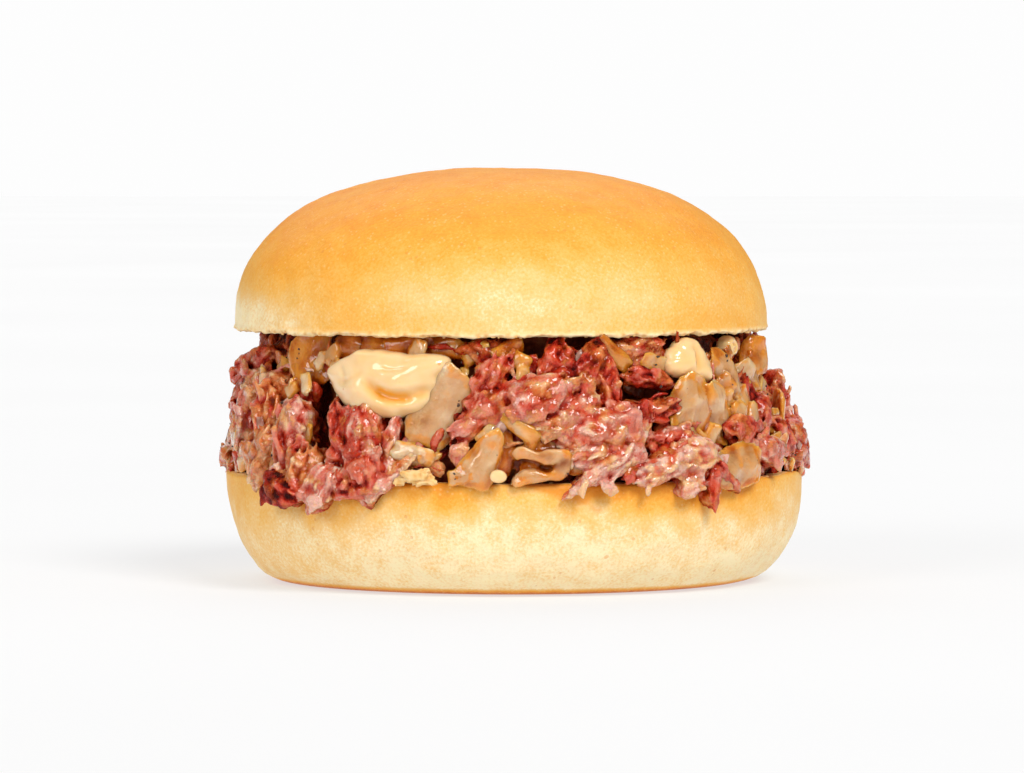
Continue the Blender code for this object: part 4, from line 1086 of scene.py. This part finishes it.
def beef_material():
    """Moist beef: streaks along the fibres shift the tone, blotches turn it from orange-red
    to purple-pink, some patches are amber with fat, the parts under the crown amber with
    painted shade, and fine grain breaks up the gloss."""
    beef = Material("pulled_beef")
    streaks = beef.fibres(0.9, 0.25)
    shift = beef.scaled(streaks["Coarse"], 0.46, -0.23)
    shift = beef.scaled(streaks["Fine"], 0.22, beef.sums("ADD", shift, -0.10))
    value = beef.sums("ADD", beef.attribute("tone"), shift, clamp=True)
    warm = beef.ramp(
        value, (0.0, 56, 3, 0), (0.2, 122, 14, 2), (0.38, 182, 42, 12), (0.55, 208, 82, 48),
        (0.75, 214, 120, 90), (0.92, 222, 156, 128), (1.0, 232, 184, 160),
    )
    cool = beef.ramp(
        value, (0.0, 46, 3, 1), (0.2, 112, 12, 4), (0.4, 174, 42, 26), (0.6, 206, 90, 72),
        (0.8, 216, 130, 112), (1.0, 232, 176, 158),
    )
    fatty = beef.ramp(
        value, (0.0, 82, 16, 2), (0.3, 158, 62, 10), (0.55, 204, 114, 48), (0.8, 222, 154, 88),
        (1.0, 236, 188, 132),
    )
    patch = beef.noise(190.0, 3.0, Roughness=0.6)
    colour = beef.mixed(beef.ramp(patch, (0.42, 0, 0, 0), (0.58, 215, 215, 215)), warm, cool)
    spots = beef.sums("SUBTRACT", beef.noise(360.0, 3.0, Roughness=0.55), 0.04)
    share = beef.scaled(beef.attribute("amber"), 0.30, spots)
    colour = beef.mixed(beef.ramp(share, (0.54, 0, 0, 0), (0.66, 225, 225, 225)), colour, fatty)
    height = beef.scaled(streaks["Coarse"], 0.5, beef.noise(1900.0))
    height = beef.scaled(streaks["Fine"], 0.5, height)
    return beef.shaded(
        relief=(height, 0.8, 0.0006), scatter=(0.45, (2.4, 0.7, 0.4)), Base_Color=colour,
        Roughness=beef.scaled(patch, 0.4, 0.06), Specular_IOR_Level=0.1,
        Coat_Weight=beef.scaled(value, 2.6, -0.6, clamp=True), Coat_Roughness=0.06,
    )


def bed_material():
    """The wet beef deep in the heap, painted brown to amber as shade, with slow blotches."""
    bed = Material("deep_beef")
    noise = bed.noise(420.0, 4.0)
    colour = bed.ramp(noise, (0.3, 120, 34, 16), (0.55, 176, 80, 40), (0.75, 204, 126, 70))
    rough = bed.scaled(noise, 0.3, 0.4)
    return bed.shaded((noise, 0.8, 0.001), Base_Color=colour, Roughness=rough, Specular_IOR_Level=0.2)


def onion_material():
    """Fried onion: half clear and glossy. Beige-grey flesh turns to a deep amber where its
    amber attribute and slow blotches say so, the attribute also holding painted shade in
    the hollows and under the crown; ribs run along it, with peppery specks."""
    onion = Material("fried_onion")
    streaks = onion.fibres(0.8, 0.30)
    shift = onion.scaled(streaks["Coarse"], 0.20, -0.10)
    shift = onion.scaled(streaks["Blotch"], 0.36, onion.sums("ADD", shift, -0.18))
    value = onion.sums("ADD", onion.attribute("tone"), shift, clamp=True)
    flesh = onion.ramp(
        value, (0.0, 92, 28, 3), (0.25, 156, 86, 34), (0.5, 198, 146, 92), (0.75, 208, 168, 124),
        (1.0, 230, 200, 162),
    )
    golden = onion.ramp(
        value, (0.0, 100, 30, 0), (0.25, 172, 80, 3), (0.5, 214, 132, 30), (0.75, 224, 152, 66),
        (1.0, 236, 186, 124),
    )
    share = onion.scaled(onion.attribute("amber"), 0.4, onion.noise(240.0, 3.0, Roughness=0.6))
    colour = onion.mixed(onion.ramp(share, (0.50, 0, 0, 0), (0.85, 245, 245, 245)), flesh, golden)
    colour = onion.specked(colour, 0.8, (70, 36, 20), Spacing=800.0, Size=0.085, Thinning=0.655)
    height = onion.scaled(streaks["Coarse"], 0.5, onion.noise(420.0))
    height = onion.scaled(onion.noise(1300.0), 0.35, height)
    return onion.shaded(
        relief=(height, 0.6, 0.0008), scatter=(0.85, (3.0, 2.1, 1.3)), Base_Color=colour,
        Roughness=onion.scaled(streaks["Blotch"], 0.2, 0.06), Specular_IOR_Level=0.25,
        Coat_Weight=onion.scaled(value, 3.0, -0.3, clamp=True), Coat_Roughness=0.03,
    )


def dressing_material():
    """Creamy dressing: pale orange and glossy, deeper in its hollows as painted shade,
    which its tone gives."""
    cream = Material("creamy_dressing")
    slow = cream.noise(190.0)
    tone = cream.sums("SUBTRACT", cream.attribute("tone"), 0.15)
    colour = cream.ramp(
        cream.scaled(slow, 0.3, tone, clamp=True), (0.0, 232, 120, 8), (0.3, 240, 156, 28),
        (0.62, 240, 192, 122), (1.0, 244, 214, 172),
    )
    colour = cream.specked(colour, 0.5, (214, 130, 60), Spacing=420.0, Size=0.12, Thinning=0.58)
    return cream.shaded(
        relief=(cream.noise(700.0), 0.12, 0.0004), scatter=(0.4, (2.2, 1.3, 0.6)), Base_Color=colour,
        Roughness=cream.scaled(slow, 0.16, 0.16), Specular_IOR_Level=0.2,
        Coat_Weight=1.0, Coat_Roughness=0.03,
    )


def bread_material(name):
    """Soft bread: the crust's colour follows its bake and the light and shade painted with it,
    with a fine mottled grain, pale and dark specks and the juices that soaked in; the torn
    crumb at a cut is pale and open, painted darker in its pores as shade."""
    bread = Material(name)
    parts = bread.add("SeparateXYZ", {0: bread.attribute("grain", "Vector")})
    crumb, stain = parts.outputs[0], parts.outputs[1]
    mottle = bread.noise(1900.0, 3.0, Roughness=0.65)
    middle = bread.noise(260.0, 3.0, Roughness=0.6)
    shift = bread.scaled(mottle, 0.58, -0.29)
    shift = bread.scaled(middle, 0.12, bread.sums("ADD", shift, -0.06))
    colour = bread.ramp(
        bread.sums("ADD", bread.attribute("tone"), shift, clamp=True),
        (0.0, 250, 230, 184), (0.2, 243, 201, 133), (0.4, 240, 183, 92),
        (0.6, 238, 165, 58), (0.85, 232, 146, 46), (1.0, 206, 114, 36),
    )
    colour = bread.specked(colour, 0.16, (254, 236, 186), Spacing=1000.0, Size=0.22, Thinning=0.45)
    colour = bread.specked(colour, 0.35, (214, 132, 58), Spacing=390.0, Size=0.13, Thinning=0.55)
    colour = bread.mixed(bread.sums("MULTIPLY", stain, 0.85), colour, srgb(228, 144, 40))
    pores = bread.add("TexVoronoi", {"Vector": bread.place, "Scale": 800.0}).outputs["Distance"]
    # The open crumb is darker in its pores, the pits of its bump: painted shade.
    inside = bread.ramp(pores, (0.1, 222, 170, 108), (0.5, 246, 214, 158), (0.9, 250, 228, 184))
    open_crumb = bread.sums("MULTIPLY", pores, bread.sums("MULTIPLY", crumb, 2.0))
    height = bread.sums("ADD", bread.scaled(middle, 0.8, mottle), open_crumb)
    rough = bread.scaled(crumb, 0.3, bread.scaled(middle, 0.2, 0.42))
    return bread.shaded(
        relief=(height, 0.30, 0.0006), scatter=(0.12, (2.0, 1.2, 0.6)),
        Base_Color=bread.mixed(crumb, colour, inside), Roughness=bread.scaled(stain, -0.2, rough),
        Specular_IOR_Level=0.2,
    )


def silverskin_material():
    """Silverskin: half clear and glossy, grey-purple to pale pink by its tone."""
    skin = Material("silverskin")
    noise = skin.noise(600.0, 3.0)
    tone = skin.sums("SUBTRACT", skin.attribute("tone"), 0.4)
    colour = skin.ramp(
        skin.scaled(noise, 0.8, tone, clamp=True), (0.0, 100, 50, 38), (0.3, 144, 92, 76),
        (0.6, 174, 130, 112), (1.0, 206, 166, 144),
    )
    return skin.shaded(
        relief=(noise, 0.4, 0.0005), scatter=(0.4, (2.0, 1.2, 1.0)), Base_Color=colour,
        Roughness=skin.scaled(noise, 0.3, 0.12), Specular_IOR_Level=0.2,
        Coat_Weight=0.7, Coat_Roughness=0.05,
    )


def pepper_material():
    """Cracked pepper: near black to brown."""
    pepper = Material("cracked_pepper")
    colour = pepper.ramp(pepper.noise(2500.0), (0.35, 28, 18, 14), (0.65, 92, 60, 40))
    return pepper.shaded(Base_Color=colour, Roughness=0.6)


# ---------------------------------------------------------------- the sandwich


def declare(piece, slot, *nodes):
    """A piece rides on the one body, and the CAD nodes that it stands for are hidden; slot is not used."""
    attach(piece, "root")
    if nodes:
        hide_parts(*nodes)
    return piece


def spread_out(index, pace=1.0):
    """The azimuth of one of many things, the golden angle times pace from the one before."""
    return index * GOLDEN_ANGLE * pace % 360 - 180


def drawn(draw, *ranges):
    """A random number from each of the ranges, in turn."""
    return [draw.uniform(*ends) for ends in ranges]


def sector(azimuth, starts):
    """The label of the sector that an azimuth lies in, from where each sector starts."""
    first = min(starts.values())
    azimuth = (azimuth - first) % 360 + first
    return [label for label, start in starts.items() if azimuth >= start][-1]


def make_bun():
    """Both halves of the bun."""
    for name, (grid, bake_and_shading, crumb) in (("crown", crown_grid()), ("heel", heel_grid())):
        stain = juice_stain(grid) if name == "heel" else 0.0
        skins = Skins()
        skins.add(grid, bake_and_shading, crumb, stain)
        declare(skins.made("baked_" + name, bread_material(name + "_bread")), "crust", "bun_" + name)


def back_places():
    """Beef of the sides and back, and the row in the shade under the crown: the same rule
    and random draw as the CAD model's."""
    draw = random.Random(SEED)
    places = []
    for index in range(7):
        azimuth = 360 * (index + draw.uniform(0, 0.5)) / 7 - 180
        length = draw.uniform(9.0, 13.0)
        places.append((azimuth, 42.4, 2.2, draw.uniform(-25, 25), 0, length, 5.4, 4.4))
    back_span = 360 - 2 * FRONT_HALF_ANGLE
    for height, count, depth in ((24.0, 7, 0.8), (31.4, 7, 1.1), (38.4, 6, 2.0)):
        for index in range(count):
            share = (index + draw.uniform(0.2, 0.8)) / count
            up, deeper, *rest = drawn(
                draw, (-1.6, 1.6), (-0.6, 0.8), (-30, 120), (-6, 6), (14, 19), (7.5, 10), (4.6, 6),
            )
            places.append((FRONT_HALF_ANGLE + back_span * share, height + up, depth + deeper, *rest))
    return places


def make_bed():
    """The heap's core, dark with painted shade: its outline drawn in by BED_INSET and at the
    openings, with uneven waves of two sizes, and closed at both ends."""
    angle = circle(220)[None]
    height = np.linspace(HEAP_BOTTOM - 0.8, HEAP_TOP + 1.2, 60)[:, None]
    height = np.concatenate([height[:1], height, height[-1:]])
    inner = np.ones_like(height)
    inner[0] = inner[-1] = 0.0
    hollow = np.zeros_like(height * angle)
    for middle, up, half, tall in OPENINGS:
        across = apart(np.degrees(angle), middle) / (half + 3.0)
        hollow = np.maximum(hollow, np.exp(-(across**2) - ((height - up) / (tall + 1.6)) ** 2))
    radius = inner * (heap_radius(height, np.degrees(angle)) - BED_INSET - 1.8 * hollow)
    grid = turned(radius, angle, height)
    relief = swells(grid, SEED, (0.9, 8, 2), (0.35, 2.6, 3)) * (np.abs(height - HEAP_MIDDLE) < 12)
    bed = Skins()
    bed.add(moved(grid, relief), 0.2)
    declare(bed.made("beef_bed", bed_material()), "corned_beef", "filling")


def make_beef():
    """The heap's beef: a layer behind, the lumps of the front and of the back, scraps and
    loose shreds, fused by the sectors that they lie in."""
    sectors = {label: Skins() for label in BEEF_SECTORS}
    draw = random.Random(SEED + 9)

    def at(azimuth):
        """The skins of the sector that an azimuth lies in."""
        return sectors[sector(azimuth, BEEF_SECTORS)]

    for index in range(LUMPS_BEHIND):
        place = [spread_out(index), *drawn(draw, (21.5, 43.5), (2.6, 4), (-90, 90)), 0]
        place += drawn(draw, (8, 14), (4, 7), (3.4, 5))
        tone = draw.uniform(0.18, 0.46)
        if not in_opening(*place[:2]):
            add_lump(at(place[0]), place, tone, 0.8, SEED + 500 + index, 22, 28, 6.4)

    for index, (*place, tone, fibre) in enumerate(FRONT_BEEF):
        amber = LEFT_AMBER[index % 3] if place[0] < LEFT_EDGE else 0.1 + 0.3 * draw.random()
        add_lump(at(place[0]), place, tone, fibre, SEED + 100 + index, 60, 72, amber=amber)
        stringy = 0.12 if fibre < 0.85 else 0.6
        count = int(place[5] * place[6] / (6.4 - stringy))
        torn_bits(at(place[0]), place, tone, amber, count, SEED + 4000 + 100 * index, stringy)

    for index, place in enumerate(back_places()):
        tone = draw.uniform(0.35, 0.75)
        add_lump(at(place[0]), place, tone, draw.uniform(0.5, 1.2), SEED + 200 + index, 46, 54)
        count = int(place[5] * place[6] / 6)
        stringy = draw.choice((0.35, 0.8))
        torn_bits(at(place[0]), place, tone, 0.3, count, SEED + 9000 + 100 * index, stringy)
    for index in range(SMALL_BACK_LUMPS):
        place = [96 + index * GOLDEN_ANGLE % 168, *drawn(draw, (21.5, 42.5), (0.6, 2.2), (-60, 100))]
        place += drawn(draw, (-6, 6), (8, 13), (4, 6.5), (3.5, 5))
        tone, fibre = drawn(draw, (0.35, 0.8), (0.5, 1.2))
        add_lump(at(place[0]), place, tone, fibre, SEED + 260 + index, 30, 36)

    for index in range(SCRAPS):
        azimuth = spread_out(index, 1.13)
        length, share, height, thin = drawn(draw, (1.8, 5), (0.4, 0.9), (20.8, 43.8), (0.5, 0.9))
        width = length * share
        grid = scrap_grid(length, width, width * thin, SEED + 3000 + index)
        placed = lay(grid, azimuth, height, *drawn(draw, (0.3, 2.6), (-90, 90), (-25, 25)))
        tone, amber = drawn(draw, (0.2, 0.85), (0, 0.8))
        if not in_opening(azimuth, height):
            # Deeper scraps are painted darker, as shade.
            shade = tone - 0.11 * sunk(placed)
            at(azimuth).add(placed, shade, grid[..., 0], grid[..., 1], index % 89, amber)

    for index in range(SHREDS):
        azimuth = spread_out(index)
        height = draw.uniform(20.8, 43.6)
        roll = draw.gauss(65, 35) if draw.random() < 0.5 else draw.gauss(0, 30)
        length, width, depth, pitch = drawn(draw, (3.5, 8.5), (0.6, 1.4), (-0.7, 0.8), (-10, 10))
        grid = strand_grid(length, width, 0.6 * width, SEED + 700 + index, 16, 8)
        placed = lay(grid, azimuth, height, depth, roll, pitch)
        if not in_opening(azimuth, height):
            tone, amber = drawn(draw, (0.3, 0.8), (0, 0.6))
            # Deeper shreds are painted darker, as shade.
            shade = tone - 0.1 * sunk(placed)
            at(azimuth).add(placed, shade, grid[..., 0], grid[..., 1], index % 83, amber)

    beef = beef_material()
    for label, skins in sectors.items():
        cell = BACK_CELL if label == "back" else BEEF_CELL
        declare(fused(skins, "beef_" + label, beef, cell, 0.05, 4, BEEF_SHADING), "corned_beef")


def make_onion():
    """The petals, the ring and the small pieces, fused by the sectors that they lie in, each
    for the nodes of its petals."""
    sectors = {label: (Skins(), []) for label in ONION_SECTORS}
    draw = random.Random(SEED + 31)

    def at(azimuth):
        """The skins and the nodes of the sector that an azimuth lies in."""
        return sectors[sector(azimuth, ONION_SECTORS)]

    for index, (name, *place, tone, amber) in enumerate(ONION_PETALS):
        skins, nodes = at(place[0])
        add_petal(skins, place, tone, amber, SEED + 40 + index)
        nodes.append(name)
    azimuth, height, depth, roll, *sizes, tone = ONION_CURL
    grid, along, across = ring_grid(*sizes, SEED + 58)
    placed = lay(grid, azimuth, height, depth, roll)
    skins, nodes = at(azimuth)
    nodes.append("onion_curl")
    amber = 0.3 + 0.9 * waves(grid, 4.5, SEED + 57)
    # Deeper parts of the ring are painted darker, as shade.
    shade = tone + 0.10 * waves(grid, 3.0, SEED + 59) - 0.06 * sunk(placed)
    skins.add(placed, shade, along, across, 5.0, amber)
    for index, (*place, length, width, curl, tone, amber) in enumerate(SMALL_ONION):
        shape = (curl, length, width, *drawn(draw, (1.1, 1.6), (0, 0.5)), 1.2)
        place = (*place, *drawn(draw, (-12, 12), (-10, 10)), *shape)
        add_petal(at(place[0])[0], place, tone - 0.08, amber, SEED + 900 + index, 23, 36)
    for index in range(ONION_BITS):
        size, curl, share, *rest = drawn(draw, (1.8, 5.4), (4, 12), (0.35, 0.75), (0.7, 1.4), (0, 0.6))
        place = drawn(draw, (21, 43.5), (-0.4, 1.2), (0, 180), (-25, 25), (-25, 25))
        place = (spread_out(index, 1.37), *place, curl, size, share * size, *rest, 1.2)
        tone, amber = drawn(draw, (0.34, 0.7), (-0.2, 1.1))
        if not in_opening(*place[:2]):
            add_petal(at(place[0])[0], place, tone, amber, SEED + 1000 + index, 15, 22)
    for index in range(ONION_BEHIND):
        size, curl, taper = drawn(draw, (4.5, 8), (7, 14), (0, 0.5))
        place = drawn(draw, (22, 44), (2.6, 4.4), (0, 180), (-25, 25), (-25, 25))
        place = (spread_out(index, 0.83), *place, curl, size, 0.6 * size, 1.6, taper, 1.0)
        tone = draw.uniform(0.32, 0.6)
        if not in_opening(*place[:2]):
            add_petal(at(place[0])[0], place, tone, 1.0, SEED + 1300 + index, 13, 20)
    onion = onion_material()
    for label, (skins, nodes) in sectors.items():
        cell = BACK_CELL if label == "back" else ONION_CELL
        declare(fused(skins, "onions_" + label, onion, cell, 0.008, 2, ONION_SHADING), "onion", *nodes)


def make_silverskin():
    """Smooth grey-purple patches of silverskin between the beef's fibres."""
    skins = Skins()
    for index, (*place, length, width) in enumerate(SILVERSKIN):
        grid, _, x, y = petal_grid(length, width, 1.1, 5.0, 0.2, 0.6, SEED + 1700 + index, 19, 30)
        placed = lay(grid, *place)
        # Deeper parts are painted darker, as shade.
        shade = 0.55 + 0.2 * waves(grid, 2.6, SEED + 1750 + index) - 0.08 * sunk(placed)
        skins.add(placed, shade, x, y, index)
    declare(skins.made("silverskin", silverskin_material()), "corned_beef")


def make_dressing():
    """Each run of dressing, deeper in colour in its creases as painted shade, and a bead on
    the heel's rim.
    """
    cream = dressing_material()
    for index, (name, azimuth, height, depth, roll, *sizes) in enumerate(DRESSING_RUNS):
        grid, folds = dressing_grid(*sizes, SEED + 20 + index)
        skins = Skins()
        lean = -12 if name == "dressing_right" else 0
        # Darker in the creases and a little paler on the ridges: painted shade and light; paler towards the
        # left end.
        tone = 0.74 + 0.42 * np.clip(folds, -1.0, 0.1) + 0.14 * ease(-grid[..., 0], 2, 8)
        skins.add(lay(grid, azimuth, height, depth, roll, 0, lean), tone)
        declare(skins.made(name.replace("dressing", "cream"), cream), "dressing", name)
    azimuth, height, depth, size = CREAM_BEAD
    skins = Skins()
    skins.add(lay(bit_grid(size, 0.8 * size, size, SEED + 36, 30, 40, 1.0), azimuth, height, depth, 0), 0.8)
    declare(skins.made("cream_bead", cream), "dressing")


def make_crumbs():
    """Torn crumbs along both cut edges, and cracked pepper on the onion and beef."""
    draw = random.Random(SEED + 77)
    crumbs = Skins()
    for index in range(LOOSE_CRUMBS):
        azimuth = math.radians(index * GOLDEN_ANGLE % 360)
        size = draw.uniform(0.3, 0.9)
        grid = bit_grid(size, 0.7 * size, 0.6 * size, SEED + 1500 + index, 6, 7)
        if index % 3:
            radius, shift, deep = CROWN_RADIUS - draw.uniform(0.3, 1.6), CROWN_SHIFT, 1.0
            height = CROWN_FLOOR + draw.uniform(-0.15, 0.25)
        else:
            radius, shift, deep = HEEL_RADIUS - draw.uniform(0.8, 2.4), 0.0, HEEL_DEPTH_SHARE
            height = HEEL_HEIGHT + draw.uniform(-0.4, 0.0)
        middle = (shift + radius * math.sin(azimuth), -deep * radius * math.cos(azimuth), height)
        crumbs.add(grid + middle, 0.45, 0.5, 0.3)
    for azimuth, height, depth, size, seed in RIM_CRUMBS:
        grid = scrap_grid(size, 0.56 * size, 0.5 * size, SEED + 1900 + seed, 30, 40)
        grid = moved(grid, 0.14 * waves(grid, 1.0, SEED + seed))
        crumbs.add(lay(grid, azimuth, height, depth, 5), 0.45, 0.6, 0.3)
    declare(crumbs.made("bread_crumbs", bread_material("loose_crumb")), "crust")
    pepper = Skins()
    for index in range(PEPPER_BITS):
        size = draw.uniform(0.25, 0.65)
        grid = bit_grid(size, 0.8 * size, 0.7 * size, SEED + 2500 + index, 5, 6)
        place = drawn(draw, (20.5, 43), (-2.4, -0.6), (0, 180))
        pepper.add(lay(grid, spread_out(index, 0.77), *place), 0.5)
    declare(pepper.made("pepper_specks", pepper_material()), "onion")


def make_stage():
    """A plain pale floor, soft studio light and the camera of the photograph."""
    mesh = bpy.data.meshes.new("studio_floor")
    signs = ((-1, -1), (1, -1), (1, 1), (-1, 1))
    corners = [(x * FLOOR_REACH, y * FLOOR_REACH, -0.2 * MM) for x, y in signs]
    mesh.from_pydata(corners, [], [(0, 1, 2, 3)])
    floor = in_scene("studio_floor", mesh)
    pale = Material("pale_floor")
    paper = pale.ramp(pale.noise(3.0), (0.3, 0.29, 0.29, 0.29, 1), (0.7, 0.31, 0.31, 0.31, 1))
    mesh.materials.append(pale.shaded(
        Base_Color=paper, Roughness=0.9, Specular_IOR_Level=0.1,
        Emission_Color=(1.0, 1.0, 1.0, 1.0), Emission_Strength=FLOOR_GLOW,
    ))

    scene = bpy.context.scene
    scene.view_settings.view_transform = "Standard"
    scene.world = bpy.data.worlds.new("studio")
    scene.world.use_nodes = True
    room = Nodes(scene.world.node_tree)
    ray = room.add("LightPath").outputs
    level = room.scaled(ray["Is Glossy Ray"], MIRRORED_ROOM - ROOM_LIGHT, ROOM_LIGHT)
    level = room.scaled(ray["Is Camera Ray"], SEEN_ROOM - ROOM_LIGHT, level)
    background = room.tree.nodes["Background"].inputs
    room.put(level, background["Strength"])
    room.put((1.0, 1.0, 1.0, 1.0), background["Color"])
    for name, place, spread, level in LAMPS:
        light = bpy.data.lights.new(name, "SUN")
        light.angle = math.radians(spread)
        light.energy = level * math.pi
        lamp = in_scene(name, light)
        lamp.location = x, y, z = place
        lamp.rotation_euler = (math.atan2(math.hypot(x, y), z), 0.0, math.atan2(y, x) + math.pi / 2)

    view = bpy.data.cameras.new("photo_camera")
    view.sensor_width = SENSOR_WIDTH
    view.lens = SENSOR_WIDTH * CAMERA_DISTANCE / (PHOTO_PIXEL * MM * PHOTO_WIDTH)
    view.clip_start = 0.01
    scene.camera = in_scene("photo_camera", view)
    scene.camera.location = (0.0, -CAMERA_DISTANCE, CAMERA_HEIGHT)
    scene.camera.rotation_euler = (math.radians(90 - CAMERA_TILT), 0.0, 0.0)


def main():
    """Makes every piece, then the stage."""
    fibre_group()
    speck_group()
    make_bun()
    make_bed()
    make_beef()
    make_onion()
    make_silverskin()
    make_dressing()
    make_crumbs()
    make_stage()
    bpy.context.view_layer.update()


main()
